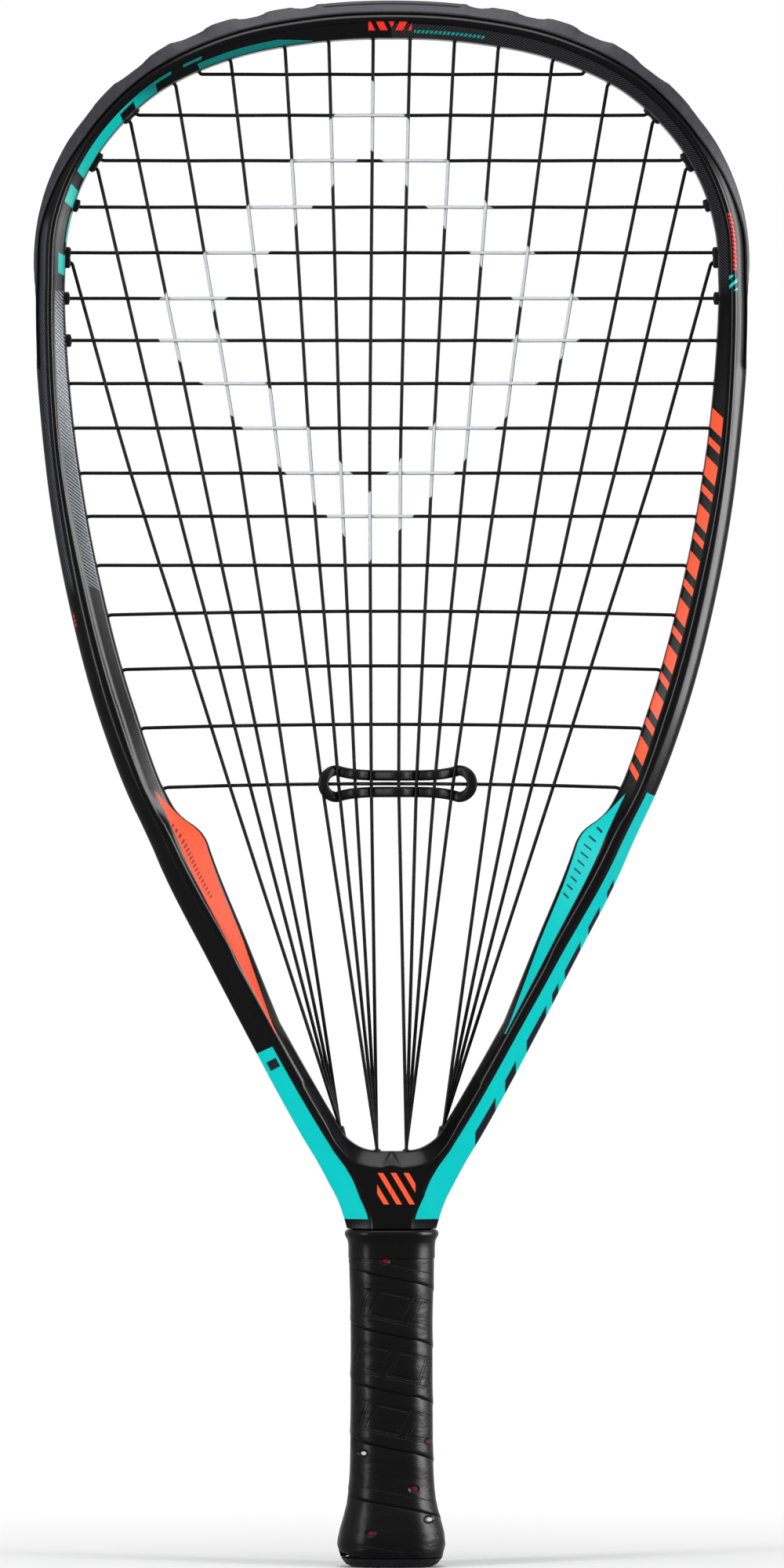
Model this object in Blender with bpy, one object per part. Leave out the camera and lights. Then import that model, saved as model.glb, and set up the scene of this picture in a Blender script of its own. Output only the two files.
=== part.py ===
"""A strung racquetball racket: moulded frame, guard, grommets, strings, damper and grip.

The racket stands on its butt end. X runs across the face, Y through it and Z up the handle.
The origin is the middle of the butt end. All sizes are in metres.
"""
import math

import bmesh
import bpy
from mathutils import Matrix, Vector

# Overall sizes
OVERALL_LENGTH = 0.5588
FRAME_WIDTH = 0.2530
FIT_GAP = 0.0003

# Head outline of the moulding: share of the half width, share of the height above the throat,
# width of the tube seen from the front, width of its outer bevel
THROAT_HEIGHT = 0.1243
THROAT_HALF_WIDTH = 0.0170
RAIL_ROWS = (
    (0.3186, 0.1018, 0.0130, 0.0066),
    (0.4032, 0.1483, 0.0125, 0.0062),
    (0.5170, 0.2121, 0.0155, 0.0054),
    (0.6617, 0.2965, 0.0191, 0.0038),
    (0.6690, 0.3017, 0.0187, 0.0037),
    (0.6870, 0.3134, 0.0152, 0.0036),
    (0.7014, 0.3225, 0.0130, 0.0035),
    (0.7399, 0.3463, 0.0125, 0.0032),
    (0.8190, 0.4073, 0.0132, 0.0030),
    (0.9138, 0.5110, 0.0128, 0.0030),
    (0.9692, 0.6031, 0.0122, 0.0030),
    (0.9960, 0.6956, 0.0108, 0.0030),
    (1.0000, 0.7696, 0.0098, 0.0030),
    (0.9881, 0.8237, 0.0101, 0.0030),
    (0.9486, 0.8594, 0.0098, 0.0030),
    (0.8759, 0.8971, 0.0097, 0.0030),
    (0.7083, 0.9473, 0.0101, 0.0030),
    (0.4917, 0.9792, 0.0108, 0.0030),
    (0.2356, 0.9958, 0.0112, 0.0030),
    (0.0000, 1.0000, 0.0114, 0.0030),
)

# Yoke between the rails: outer point as the rows above, inner point from the bridge's middle,
# widths of the outer and inner bevels
BRIDGE_HEIGHT = 0.1481
YOKE_ROWS = (
    (0.1344, 0.0000, 0.0000, 0.0000, 0.0096, 0.0060),
    (0.1526, 0.0150, 0.0050, 0.0002, 0.0090, 0.0058),
    (0.1771, 0.0289, 0.0100, 0.0011, 0.0084, 0.0048),
    (0.2063, 0.0449, 0.0155, 0.0045, 0.0072, 0.0036),
    (0.2506, 0.0664, 0.0206, 0.0123, 0.0070, 0.0030),
)

# Tube section
BEAM_HALF_DEPTH = 0.0110
THROAT_HALF_DEPTH = 0.0118
OUTER_WALL_HALF = 0.0060
INNER_WALL_HALF = 0.0062
WING_EDGE_HALF = 0.0035
WING_LOW_SHARE = 0.1483
WING_HIGH_SHARE = 0.3463
RIDGE_WIDTH = 0.0040
RIDGE_DROP = 0.0010
RIDGE_ROUNDING = 0.28
STATION_PITCH = 0.0115
STATION_MARGIN = 0.3

# Shaft of the moulding inside the handle: height, half width, half depth
SHAFT_HALF_WIDTH = 0.0095
SHAFT_HALF_DEPTH = 0.0075
SHAFT_END = 0.0120
SHAFT_TOP = 0.1155
NECK_HEIGHT = 0.1193
NECK_HALF_WIDTH = 0.0136
NECK_HALF_DEPTH = 0.0104
SHOULDER_HEIGHT = 0.1207
SHOULDER_RISE = 0.0005
SHOULDER_HALF_WIDTH = 0.0160

# String channel round the head, grommets and guard
CHANNEL_DEPTH = 0.0028
CHANNEL_HALF = 0.0034
CHANNEL_RAMP = 0.0025
BASE_THICKNESS = 0.0008
GROOVE_HALF = 0.0023
BORE_HALF = 0.00093
BARREL_HALF = 0.00153
HOLE_HALF = BARREL_HALF + FIT_GAP
SIDE_STUB = 0.0016
SHOULDER_STUB = 0.0008
FLUSH_STUB = 0.0004
LAST_PROUD_CROSS = {-1: 6, 1: 5}
LANE_OFFSET = 0.0010
PAIR_PITCH = 0.0036
STRIP_MARGIN = 0.0070
GUARD_THICKNESS = 0.0022
GUARD_END_THICKNESS = 0.0007
GUARD_MARGIN = 0.0100
GUARD_THINNING = 0.0900
LIP_THICKNESS = 0.0007
LIP_REACH = 0.1250
LIP_FADE = 0.0400
LIP_COVER = 0.90
LIP_END_COVER = 0.15
GUARD_SIDE_HALF = 0.0064
NOTCH_ROWS = (
    (0.0262, 0.0364, 0.0010), (0.0448, 0.0574, 0.0011), (0.0658, 0.0806, 0.0011),
    (0.0892, 0.1059, 0.0010), (0.1150, 0.1297, 0.0006),
)
NOTCH_FALL = 0.30
NOTCH_RISE = 0.22
BOSS_HALF_LENGTH = 0.0023
BOSS_END = 0.0020
BOSS_HALF_DEPTH = 0.0030
BOSS_FACE = 0.0002
HOLE_OVERRUN = 0.0040
BORE_OVERRUN = 0.0010

# Strings
STRING_DIAMETER = 0.00125
STRING_SIDES_LEVEL = 0
STRING_RIDE = 0.00093
CROSS_LIFT = 0.00155
MAIN_HOLE_SHARES = (0.6134, 0.4561, 0.3020, 0.1779, 0.0522)
MAIN_MID_SHARES = (0.852, 0.728, 0.616, 0.489, 0.357, 0.249, 0.148, 0.049)
MAIN_LOW_SHARES = (0.709, 0.618, 0.536, 0.443, 0.287, 0.210, 0.134, 0.060)
MID_SHARE = 0.3702
CROSS_SHARES = (
    0.0317, 0.0685, 0.1093, 0.1511, 0.1921, 0.2332, 0.2710, 0.3097,
    0.3498, 0.3903, 0.4291, 0.4732, 0.5178, 0.5669, 0.6195, 0.6729,
)
FIRST_CROSS_ROOM = 0.0020
GUARDED_CROSSES = 7
BOWED_CROSSES = 4
CROSS_BOW = 0.0013
BED_DRIFT = 0.0026
DRIFT_FADE = 0.055
SHARED_HOLE_NUMBERS = ((4, 0), (2, 1), (1, 2))
KNOT_SCALE = 1.5
KNOT_START = 0.0024
KNOT_END = 0.0046
KNOT_LIFT = 0.0003

# Ports in the yoke, four mains through each
OUTER_PORT_X = 0.0184
INNER_PORT_X = 0.0052
PORT_LANE_PITCH = 0.0023
PORT_PROUD = 0.0008
PORT_LENGTH = 0.0068
PORT_HALF_WIDTH = 0.00145
PORT_END_WALL = 0.0016
PORT_TURN_DROP = 0.0007
PORT_TURN_DEPTH = 0.0009
PORT_TURN_ROOM = 0.0027
PORT_OVERRUN = 0.0090

# Vibration damper, woven through the mains round the lowest cross string
DAMPER_LEFT_REACH = -0.0005
DAMPER_RIGHT_REACH = 0.0068
DAMPER_END_RADIUS = 0.00475
DAMPER_WAIST = 0.00295
DAMPER_HALF_HEIGHT = 0.00175
DAMPER_HALF_DEPTH = 0.00085
DAMPER_WEAVE = 0.0020
DAMPER_END_LIFT = 0.0019
DAMPER_FIRST_MAIN = 4
DAMPER_MAINS = 8

# Handle: height and half width of the grip's outer surface
GRIP_ROWS = (
    (0.0000, 0.0176), (0.0030, 0.0181), (0.0060, 0.0190), (0.0092, 0.0193), (0.0140, 0.0184),
    (0.0204, 0.0165), (0.0260, 0.0156), (0.0320, 0.0151), (0.0450, 0.0148), (0.0900, 0.0147),
    (0.1000, 0.0150), (0.1080, 0.0152), (0.1160, 0.0151),
)
GRIP_FLATTENING = 0.0020
GRIP_SQUARENESS = 2.6
GRIP_SIDES = 24
TAPE_THICKNESS = 0.0017
TAPE_PITCH = 0.0203
TAPE_GAP = 0.0009
TAPE_SKIVE = 0.0014
TAPE_LOW = 0.0034
TAPE_HIGH = 0.1108
TAPE_START_WIDTH = 0.0020
TAPE_END_WIDTH = 0.0030
TAPE_START_SHARE = 1 / 3
PALLET_LOW = 0.0046
PALLET_HIGH = 0.1150
CAP_TOP = 0.0300
CAP_FLANGE = 0.0030
CAP_WALL = 0.0013
CAP_EXTRA_INSET = 0.0009
CAP_EDGE_ROWS = ((0.0000, 0.0030), (0.0008, 0.0012), (0.0020, 0.0003))
CAP_SHELF_SLOPE = 0.0001
EYELET_OFFSET = 0.0046
EYELET_RADIUS = 0.0017
COLLAR_ROWS = (
    (0.1112, 0.0155), (0.1150, 0.0158), (0.1172, 0.0165), (0.1187, 0.0168), (0.1197, 0.0165),
    (0.1201, 0.0161),
)
COLLAR_NECK_ROOM = 0.0016
COLLAR_LEDGE_DROP = 0.0010

FRAME_TIP = OVERALL_LENGTH - GUARD_THICKNESS
FRAME_HALF = FRAME_WIDTH / 2
INNER_TIP = FRAME_TIP - RAIL_ROWS[-1][2]
CROSS_COUNT = len(CROSS_SHARES)
MAIN_COUNT = 2 * len(MAIN_MID_SHARES)
STRING_RADIUS = STRING_DIAMETER / 2
STRING_TURN = STRING_RADIUS + 2 * FIT_GAP


def make_material(name, colour, roughness, metallic=0.0):
    material = bpy.data.materials.new(name)
    material.use_nodes = True
    shader = material.node_tree.nodes["Principled BSDF"]
    shader.inputs["Base Color"].default_value = (*colour, 1.0)
    shader.inputs["Roughness"].default_value = roughness
    shader.inputs["Metallic"].default_value = metallic
    material.diffuse_color = (*colour, 1.0)
    return material


def link_object(name, data, material=None):
    item = bpy.data.objects.new(name, data)
    bpy.context.scene.collection.objects.link(item)
    if material:
        data.materials.append(material)
    return item


def mesh_from(name, bm, smooth_angle=None):
    """Turn a bmesh into a mesh with its faces pointing out."""
    bmesh.ops.recalc_face_normals(bm, faces=bm.faces)
    mesh = bpy.data.meshes.new(name)
    bm.to_mesh(mesh)
    bm.free()
    if smooth_angle:
        mesh.shade_smooth()
        mesh.set_sharp_from_angle(angle=math.radians(smooth_angle))
    return mesh


def cutter_from(name, bm):
    """Turn a bmesh of convex solids with flat sides into an object for a Boolean."""
    bmesh.ops.dissolve_limit(bm, angle_limit=0.001, verts=bm.verts, edges=bm.edges)
    item = link_object(name, mesh_from(name, bm))
    item.hide_render = True
    item.display_type = 'WIRE'
    return item


def add_boolean(item, cutter, operation='DIFFERENCE'):
    modifier = item.modifiers.new(cutter.name, 'BOOLEAN')
    modifier.operation = operation
    modifier.solver = 'EXACT'
    modifier.use_self = True
    modifier.object = cutter


class Curve:
    """A smooth curve through key points, with its tangents weighted by the chords."""

    def __init__(self, keys, before=None, after=None):
        self.keys = keys
        ends = [before or 2 * keys[0] - keys[1]] + keys + [after or 2 * keys[-1] - keys[-2]]
        self.tangents = []
        for last, here, following in zip(ends, ends[1:], ends[2:]):
            back = (here - last).length
            ahead = (following - here).length
            slope = (following - here) * (back / ahead) + (here - last) * (ahead / back)
            self.tangents.append(slope / (back + ahead))

    def at(self, span, share):
        start, end = self.keys[span], self.keys[span + 1]
        chord = (end - start).length
        pull_in = self.tangents[span] * chord
        pull_out = self.tangents[span + 1] * chord
        square, cube = share ** 2, share ** 3
        return (start * (2 * cube - 3 * square + 1) + pull_in * (cube - 2 * square + share)
                + end * (3 * square - 2 * cube) + pull_out * (cube - square))

    def normal(self, span, share):
        """Unit normal to the right of the direction of travel."""
        step = 0.001
        low = max(share - step, 0.0)
        high = min(share + step, 1.0)
        along = (self.at(span, high) - self.at(span, low)).normalized()
        return Vector((along.y, -along.x))


class Station:
    """One cross-section of the tube, between a point on its outer and on its inner edge."""

    def __init__(self, outer, inner, bevel, inner_bevel, depth, inner_wall, rail=False):
        self.outer = outer
        self.inner = inner
        self.bevel = bevel
        self.inner_bevel = inner_bevel
        self.depth = depth
        self.inner_wall = inner_wall
        self.rail = rail
        self.channel = False

    @property
    def width(self):
        return (self.outer - self.inner).length

    def place(self, distance, depth):
        spot = self.outer + (self.inner - self.outer).normalized() * distance
        return Vector((spot.x, depth, spot.y))

    def mixed(self, other, share):
        """A section part of the way to another one."""
        return Station(self.outer.lerp(other.outer, share), self.inner.lerp(other.inner, share),
                       blend(self.bevel, other.bevel, share),
                       blend(self.inner_bevel, other.inner_bevel, share),
                       blend(self.depth, other.depth, share),
                       blend(self.inner_wall, other.inner_wall, share), self.rail)


def blend(low, high, share):
    return low + (high - low) * share


def head_point(width_share, height_share):
    return Vector((width_share * FRAME_HALF,
                   THROAT_HEIGHT + height_share * (FRAME_TIP - THROAT_HEIGHT)))


def steps_for(length):
    return max(1, round(length / STATION_PITCH))


def shaft_stations():
    """Sections of the right leg from its open end up to the shoulder, cut by the web."""
    rows = (
        (SHAFT_END, SHAFT_HALF_WIDTH, SHAFT_HALF_DEPTH),
        (SHAFT_TOP, SHAFT_HALF_WIDTH, SHAFT_HALF_DEPTH),
        (NECK_HEIGHT, NECK_HALF_WIDTH, NECK_HALF_DEPTH),
        (SHOULDER_HEIGHT - SHOULDER_RISE, NECK_HALF_WIDTH + FIT_GAP, NECK_HALF_DEPTH + FIT_GAP),
        (SHOULDER_HEIGHT, SHOULDER_HALF_WIDTH, THROAT_HALF_DEPTH),
    )
    stations = []
    for height, half_width, half_depth in rows:
        outer = Vector((half_width, height))
        inner = Vector((0.0, height))
        stations.append(Station(outer, inner, half_width * 0.32, half_width * 0.30, half_depth,
                                half_depth - RIDGE_DROP))
    return stations


def head_stations():
    """Sections of the right half from the yoke round to the tip."""
    outer_keys = [Vector((THROAT_HALF_WIDTH, THROAT_HEIGHT))]
    outer_keys += [head_point(row[0], row[1]) for row in YOKE_ROWS[1:]]
    outer_keys += [head_point(row[0], row[1]) for row in RAIL_ROWS]
    past_tip = outer_keys[-2].copy()
    past_tip.x = -past_tip.x
    outer = Curve(outer_keys, Vector((SHOULDER_HALF_WIDTH, SHOULDER_HEIGHT)), past_tip)
    yoke_spans = len(YOKE_ROWS)

    def rail_inner(span, share, width):
        return outer.at(span, share) - outer.normal(span, share) * width

    yoke_keys = [Vector((row[2], BRIDGE_HEIGHT + row[3])) for row in YOKE_ROWS]
    yoke_keys.append(rail_inner(yoke_spans, 0.0, RAIL_ROWS[0][2]))
    mirrored = Vector((-yoke_keys[1].x, yoke_keys[1].y))
    yoke = Curve(yoke_keys, mirrored, rail_inner(yoke_spans + 1, 0.0, RAIL_ROWS[1][2]))

    stations = []
    for span in range(len(outer_keys) - 1):
        count = steps_for((outer_keys[span + 1] - outer_keys[span]).length)
        last = span == len(outer_keys) - 2
        for step in range(count + (1 if last else 0)):
            share = step / count
            if span < yoke_spans:
                here = YOKE_ROWS[span]
                after = YOKE_ROWS[span + 1] if span + 1 < yoke_spans else None
                bevel = blend(here[4], after[4] if after else RAIL_ROWS[0][3], share)
                inner_bevel = blend(here[5], after[5] if after else YOKE_ROWS[-1][5], share)
                depth = blend(THROAT_HALF_DEPTH, BEAM_HALF_DEPTH, (span + share) / yoke_spans)
                stations.append(Station(outer.at(span, share), yoke.at(span, share), bevel,
                                        inner_bevel, depth, INNER_WALL_HALF))
                continue
            here = RAIL_ROWS[span - yoke_spans]
            after = RAIL_ROWS[span - yoke_spans + 1]
            width = blend(here[2], after[2], share)
            bevel = blend(here[3], after[3], share)
            height_share = blend(here[1], after[1], share)
            edge = INNER_WALL_HALF
            if WING_LOW_SHARE < height_share < WING_HIGH_SHARE:
                edge = WING_EDGE_HALF
            spot = outer.at(span, share)
            inner = spot - outer.normal(span, share) * width
            if last and step == count:
                spot.x = 0.0
                inner.x = 0.0
            stations.append(Station(spot, inner, bevel, width - bevel - RIDGE_WIDTH,
                                    BEAM_HALF_DEPTH, edge, rail=True))
    return stations


def index_where(stations, measure, target, start, proud=0.0):
    """The place after a start where a measure of points just inside the inner edge passes."""
    def point(station):
        return station.inner + (station.inner - station.outer).normalized() * proud

    for k in range(start, len(stations) - 1):
        low = measure(point(stations[k]))
        high = measure(point(stations[k + 1]))
        if (low - target) * (high - target) <= 0 and low != high:
            return k + (target - low) / (high - low)
    return float(len(stations) - 1)


def index_below(stations, index, distance, edge):
    """The place a distance back along the outer or inner edge, towards the throat."""
    low = int(index)
    above = stations[min(low + 1, len(stations) - 1)]
    here = getattr(stations[low], edge).lerp(getattr(above, edge), index - low)
    position = index
    left = distance
    while low >= 0:
        start = getattr(stations[low], edge)
        length = (here - start).length
        if length >= left:
            return position - (position - low) * left / length
        left -= length
        here = start
        position = low
        low -= 1
    return 0.0


def cross_level(cross):
    """Height of a cross string's holes, by its share of the opening below the tip."""
    return INNER_TIP - CROSS_SHARES[cross] * (INNER_TIP - BRIDGE_HEIGHT)


def with_channel(stations):
    """The sections with the string channel from below the lowest cross string to the tip."""
    first = next(k for k, station in enumerate(stations) if station.rail)
    lowest = index_where(stations, lambda p: p.y, cross_level(-1), first)
    start = index_below(stations, lowest, STRIP_MARGIN + 2 * FIT_GAP, "outer")
    low = int(start)
    ramp = index_below(stations, start, CHANNEL_RAMP, "outer")
    ends = [stations[int(place)].mixed(stations[int(place) + 1], place - int(place))
            for place in (ramp, start)]
    for station in [ends[1]] + stations[low + 1:]:
        station.channel = True
    return stations[:int(ramp) + 1] + ends + stations[low + 1:]


SHAFT = shaft_stations()
HEAD = with_channel(head_stations())
TIP_INDEX = len(HEAD) - 1
FIRST_RAIL = next(k for k, station in enumerate(HEAD) if station.rail)


def skin_profile(station):
    """Closed outline of the tube's section, its string channel or plain outer wall first."""
    start = station.bevel
    end = station.width - station.inner_bevel
    lift = (end - start) * RIDGE_ROUNDING
    outer_half = min(OUTER_WALL_HALF, station.depth - 2 * RIDGE_DROP)
    floor = (CHANNEL_DEPTH, CHANNEL_HALF) if station.channel else (0.0, CHANNEL_HALF - FIT_GAP)
    front = [
        floor,
        (0.0, CHANNEL_HALF),
        (0.0, outer_half),
        (start, station.depth - RIDGE_DROP),
        (start + lift, station.depth),
        (end - lift, station.depth),
        (end, station.depth - RIDGE_DROP),
        (station.width, station.inner_wall),
    ]
    points = [station.place(distance, -depth) for distance, depth in front]
    points += [station.place(distance, depth) for distance, depth in reversed(front)]
    return points


def loft(bm, rings, skip=None):
    """Join rings of equal counts with quads, leaving out the edges that skip names."""
    count = len(rings[0])
    for k, (low, high) in enumerate(zip(rings, rings[1:])):
        for n in range(count):
            if skip and skip(k, n):
                continue
            m = (n + 1) % count
            bm.faces.new((low[n], low[m], high[m], high[n]))


def make_frame(material):
    bm = bmesh.new()
    rings = []
    for station in SHAFT + HEAD:
        rings.append([bm.verts.new(point) for point in skin_profile(station)])
    inner_edge = len(rings[0]) // 2 - 1
    loft(bm, rings, lambda span, edge: edge == inner_edge and span < len(SHAFT))
    bm.faces.new(rings[0])
    half = bm.verts[:] + bm.edges[:] + bm.faces[:]
    bmesh.ops.mirror(bm, geom=half, matrix=Matrix.Identity(4), merge_dist=0.00001, axis='X')
    bmesh.ops.remove_doubles(bm, verts=bm.verts, dist=0.00001)
    bmesh.ops.triangulate(bm, faces=bm.faces)
    frame = link_object("frame", mesh_from("frame", bm, 32), material)
    add_boolean(frame, hole_cutter())
    return frame


class Spot:
    """A place on the head's right half, mirrored to the left by its side of -1."""

    def __init__(self, index, side):
        self.index = index
        self.side = side
        low = min(int(index), TIP_INDEX - 1)
        share = index - low
        outer = HEAD[low].outer.lerp(HEAD[low + 1].outer, share)
        inner = HEAD[low].inner.lerp(HEAD[low + 1].inner, share)
        self.outer = Vector((outer.x * side, 0.0, outer.y))
        self.inner = Vector((inner.x * side, 0.0, inner.y))
        self.outward = (self.outer - self.inner).normalized()
        self.along = Vector((-self.outward.z, 0.0, self.outward.x))
        self.bevel = blend(HEAD[low].bevel, HEAD[low + 1].bevel, share)

    def from_outer(self, lift, depth=0.0, shift=0.0):
        """A point lifted off the outer edge, or sunk below it where lift is negative."""
        spot = self.outer + self.outward * lift + self.along * shift
        return Vector((spot.x, depth, spot.z))

    def from_inner(self, proud, depth=0.0):
        """A point standing proud of the inner edge."""
        spot = self.inner - self.outward * proud
        return Vector((spot.x, depth, spot.z))


def cross_stub(cross, side):
    """How far a cross string's barrel stands proud of the inner edge on one side."""
    if cross == 1:
        return SHOULDER_STUB
    return SIDE_STUB if 1 < cross <= LAST_PROUD_CROSS[side] else FLUSH_STUB


WIDEST = max(range(len(HEAD)), key=lambda k: HEAD[k].inner.x)
CROSS_INDEX = [index_where(HEAD, lambda p: p.y, cross_level(cross), FIRST_RAIL,
                           cross_stub(cross, -1) + STRING_TURN) for cross in range(CROSS_COUNT)]
MAIN_INDEX = [0.0] * len(SHARED_HOLE_NUMBERS)
MAIN_INDEX += [index_where(HEAD, lambda p: p.x, share * FRAME_HALF, WIDEST)
               for share in MAIN_HOLE_SHARES]
for cross_number, main_number in SHARED_HOLE_NUMBERS:
    MAIN_INDEX[main_number] = index_below(HEAD, CROSS_INDEX[cross_number], PAIR_PITCH, "inner")


def main_spot(main):
    """Hole of a main string, counted from the left."""
    half = MAIN_COUNT // 2
    if main < half:
        return Spot(MAIN_INDEX[main], -1)
    return Spot(MAIN_INDEX[MAIN_COUNT - 1 - main], 1)


def cross_spot(cross, side):
    return Spot(CROSS_INDEX[cross], side)


def half_opening(height):
    index = index_where(HEAD, lambda p: p.y, height, FIRST_RAIL)
    return Spot(index, 1).inner.x


def drifted(offset, amount):
    """Shift of the middle strings to the left, fading outwards."""
    return offset - amount * max(0.0, 1.0 - abs(offset) / DRIFT_FADE)


def main_side(main):
    half = MAIN_COUNT // 2
    return (-1, main) if main < half else (1, MAIN_COUNT - 1 - main)


MID_HEIGHT = INNER_TIP - MID_SHARE * (INNER_TIP - BRIDGE_HEIGHT)
LOW_HEIGHT = cross_level(-1)
PORT_BUNCH = MAIN_COUNT // 4


def bed_point(main, shares, height, drift):
    side, number = main_side(main)
    offset = side * shares[number] * half_opening(height)
    return Vector((drifted(offset, drift), 0.0, height))


def port_spot(bunch):
    """Point on the inner edge where four mains enter the yoke."""
    side = -1 if bunch < 2 else 1
    offset = INNER_PORT_X if bunch in (1, 2) else OUTER_PORT_X
    for low, high in zip(HEAD, HEAD[1:]):
        if low.inner.x <= offset <= high.inner.x:
            share = (offset - low.inner.x) / (high.inner.x - low.inner.x)
            spot = low.inner.lerp(high.inner, share)
            return Vector((side * spot.x, 0.0, spot.y))
    return Vector((side * HEAD[0].inner.x, 0.0, HEAD[0].inner.y))


def port_axis(bunch):
    """Direction out of a port, up to the middle of its four mains."""
    mains = range(bunch * PORT_BUNCH, (bunch + 1) * PORT_BUNCH)
    middle = Vector()
    for main in mains:
        middle += bed_point(main, MAIN_LOW_SHARES, LOW_HEIGHT, BED_DRIFT) / PORT_BUNCH
    return (middle - port_spot(bunch)).normalized()


def lane_depth(main):
    return (main % PORT_BUNCH - (PORT_BUNCH - 1) / 2) * PORT_LANE_PITCH


def add_prism(bm, centres, axis, half, length, sides=6):
    """Closed prism round one or more centres, half as wide across flats, along an axis."""
    across = Vector((-axis.z, 0.0, axis.x))
    deep = Vector((0.0, 1.0, 0.0))
    radius = half / math.cos(math.pi / sides)
    points = []
    for centre in centres:
        for n in range(sides):
            angle = 2 * math.pi * (n + 0.5) / sides
            rim = across * (radius * math.cos(angle)) + deep * (radius * math.sin(angle))
            points.append(centre + rim)
            points.append(centre + rim + axis * length)
    verts = [bm.verts.new(p) for p in points]
    bmesh.ops.convex_hull(bm, input=verts)


def hole_groups():
    """Each hole in the head: its spots with their lanes, and how far its barrel stands proud."""
    paired = dict(SHARED_HOLE_NUMBERS)
    groups = []
    for side in (-1, 1):
        for cross in range(CROSS_COUNT):
            spots = [(cross_spot(cross, side), -LANE_OFFSET)]
            if cross in paired:
                main = paired[cross]
                main = main if side < 0 else MAIN_COUNT - 1 - main
                spots.append((main_spot(main), LANE_OFFSET))
            groups.append((spots, cross_stub(cross, side), cross < GUARDED_CROSSES, side))
    for main in range(len(SHARED_HOLE_NUMBERS), MAIN_COUNT - len(SHARED_HOLE_NUMBERS)):
        groups.append(([(main_spot(main), LANE_OFFSET)], FLUSH_STUB, True, 0))
    return groups


HOLES = hole_groups()


def add_group_prism(bm, group, radius, top, below):
    """Prism through the tube round a group's bores, down past the inner edge."""
    spots = group[0]
    axis = -spots[0][0].outward
    centres = [spot.from_outer(top, lane) for spot, lane in spots]
    inner = spots[0][0].from_inner(below, spots[0][1])
    add_prism(bm, centres, axis, radius, (inner - centres[0]).dot(axis))


def hole_cutter():
    bm = bmesh.new()
    for group in HOLES:
        add_group_prism(bm, group, HOLE_HALF, -CHANNEL_DEPTH / 2, HOLE_OVERRUN)
    for bunch in range(4):
        axis = port_axis(bunch)
        spot = port_spot(bunch)
        start = spot + axis * PORT_OVERRUN
        add_block(bm, start, -axis, PORT_OVERRUN + PORT_LENGTH + PORT_TURN_ROOM,
                  PORT_HALF_WIDTH + FIT_GAP, port_half_depth() + FIT_GAP)
    return cutter_from("string_holes", bm)


def port_half_depth():
    return PORT_LANE_PITCH * (PORT_BUNCH - 1) / 2 + PORT_END_WALL


def add_block(bm, start, axis, length, half_width, half_depth):
    across = Vector((-axis.z, 0.0, axis.x))
    verts = []
    for reach in (0.0, length):
        for wide, deep in ((-1, -1), (1, -1), (1, 1), (-1, 1)):
            spot = start + axis * reach + across * (wide * half_width)
            verts.append(bm.verts.new((spot.x, deep * half_depth, spot.z)))
    bmesh.ops.convex_hull(bm, input=verts)


def sweep(bm, spots, profile_at):
    """Solid swept along spots, its profile given as lift and depth pairs, capped at both ends."""
    rings = []
    for spot in spots:
        rings.append([bm.verts.new(spot.from_outer(u, y)) for u, y in profile_at(spot)])
    loft(bm, rings)
    bm.faces.new(rings[0])
    bm.faces.new(list(reversed(rings[-1])))


def half_run(low, high, side, notches=()):
    """Spots from one place to another on one half, at the stations between or at notches."""
    places = {low, high}
    for k in range(TIP_INDEX + 1):
        apart = not notches or not min(notches) - STATION_MARGIN < k < max(notches) + STATION_MARGIN
        if low + STATION_MARGIN < k < high - STATION_MARGIN and apart:
            places.add(float(k))
    places.update(k for k in notches if low < k < high)
    return [Spot(k, side) for k in sorted(places)]


def full_run(low, notches=()):
    """Spots from a place on the left over the tip to the same place on the right."""
    left = half_run(low, float(TIP_INDEX), -1, notches)
    right = half_run(low, float(TIP_INDEX), 1, notches)[:-1]
    return left + list(reversed(right))


STRIP_START = index_below(HEAD, CROSS_INDEX[-1], STRIP_MARGIN, "outer")
GUARD_START = index_below(HEAD, CROSS_INDEX[GUARDED_CROSSES - 1], GUARD_MARGIN, "outer")
STRIP_END = index_below(HEAD, GUARD_START, FIT_GAP * 2, "outer")
NOTCH_PLACES = [index_below(HEAD, float(TIP_INDEX), blend(start, end, share), "outer")
                for start, end, _ in NOTCH_ROWS for share in (0.0, NOTCH_FALL, 1.0 - NOTCH_RISE, 1.0)]


def barrels(name, groups, radius):
    """Barrels of the grommets, as one set of separate solids for a union."""
    bm = bmesh.new()
    for group in groups:
        add_group_prism(bm, group, radius, -CHANNEL_DEPTH + FIT_GAP + BASE_THICKNESS / 2, group[1])
    return cutter_from(name, bm)


def bores(name, groups):
    bm = bmesh.new()
    for group in groups:
        for spot, lane in group[0]:
            start = spot.from_outer(-CHANNEL_DEPTH / 2 + FIT_GAP, lane)
            end = spot.from_inner(SIDE_STUB + BORE_OVERRUN, lane)
            axis = -spot.outward
            add_prism(bm, [start], axis, BORE_HALF, (end - start).dot(axis))
    return cutter_from(name, bm)


def bosses(name, groups):
    """Blocks at the ends of the side grommets, just clear of the inner wall."""
    bm = bmesh.new()
    for spots, proud, _, _ in groups:
        first, last = spots[0][0], spots[-1][0]
        centre = (first.from_inner(FIT_GAP) + last.from_inner(FIT_GAP)) / 2
        half = BOSS_HALF_LENGTH
        if len(spots) > 1:
            half = (last.inner - first.inner).length / 2 + BOSS_END
        add_block(bm, centre, -first.outward, proud + BOSS_FACE - FIT_GAP, half, BOSS_HALF_DEPTH)
    return cutter_from(name, bm)


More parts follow.
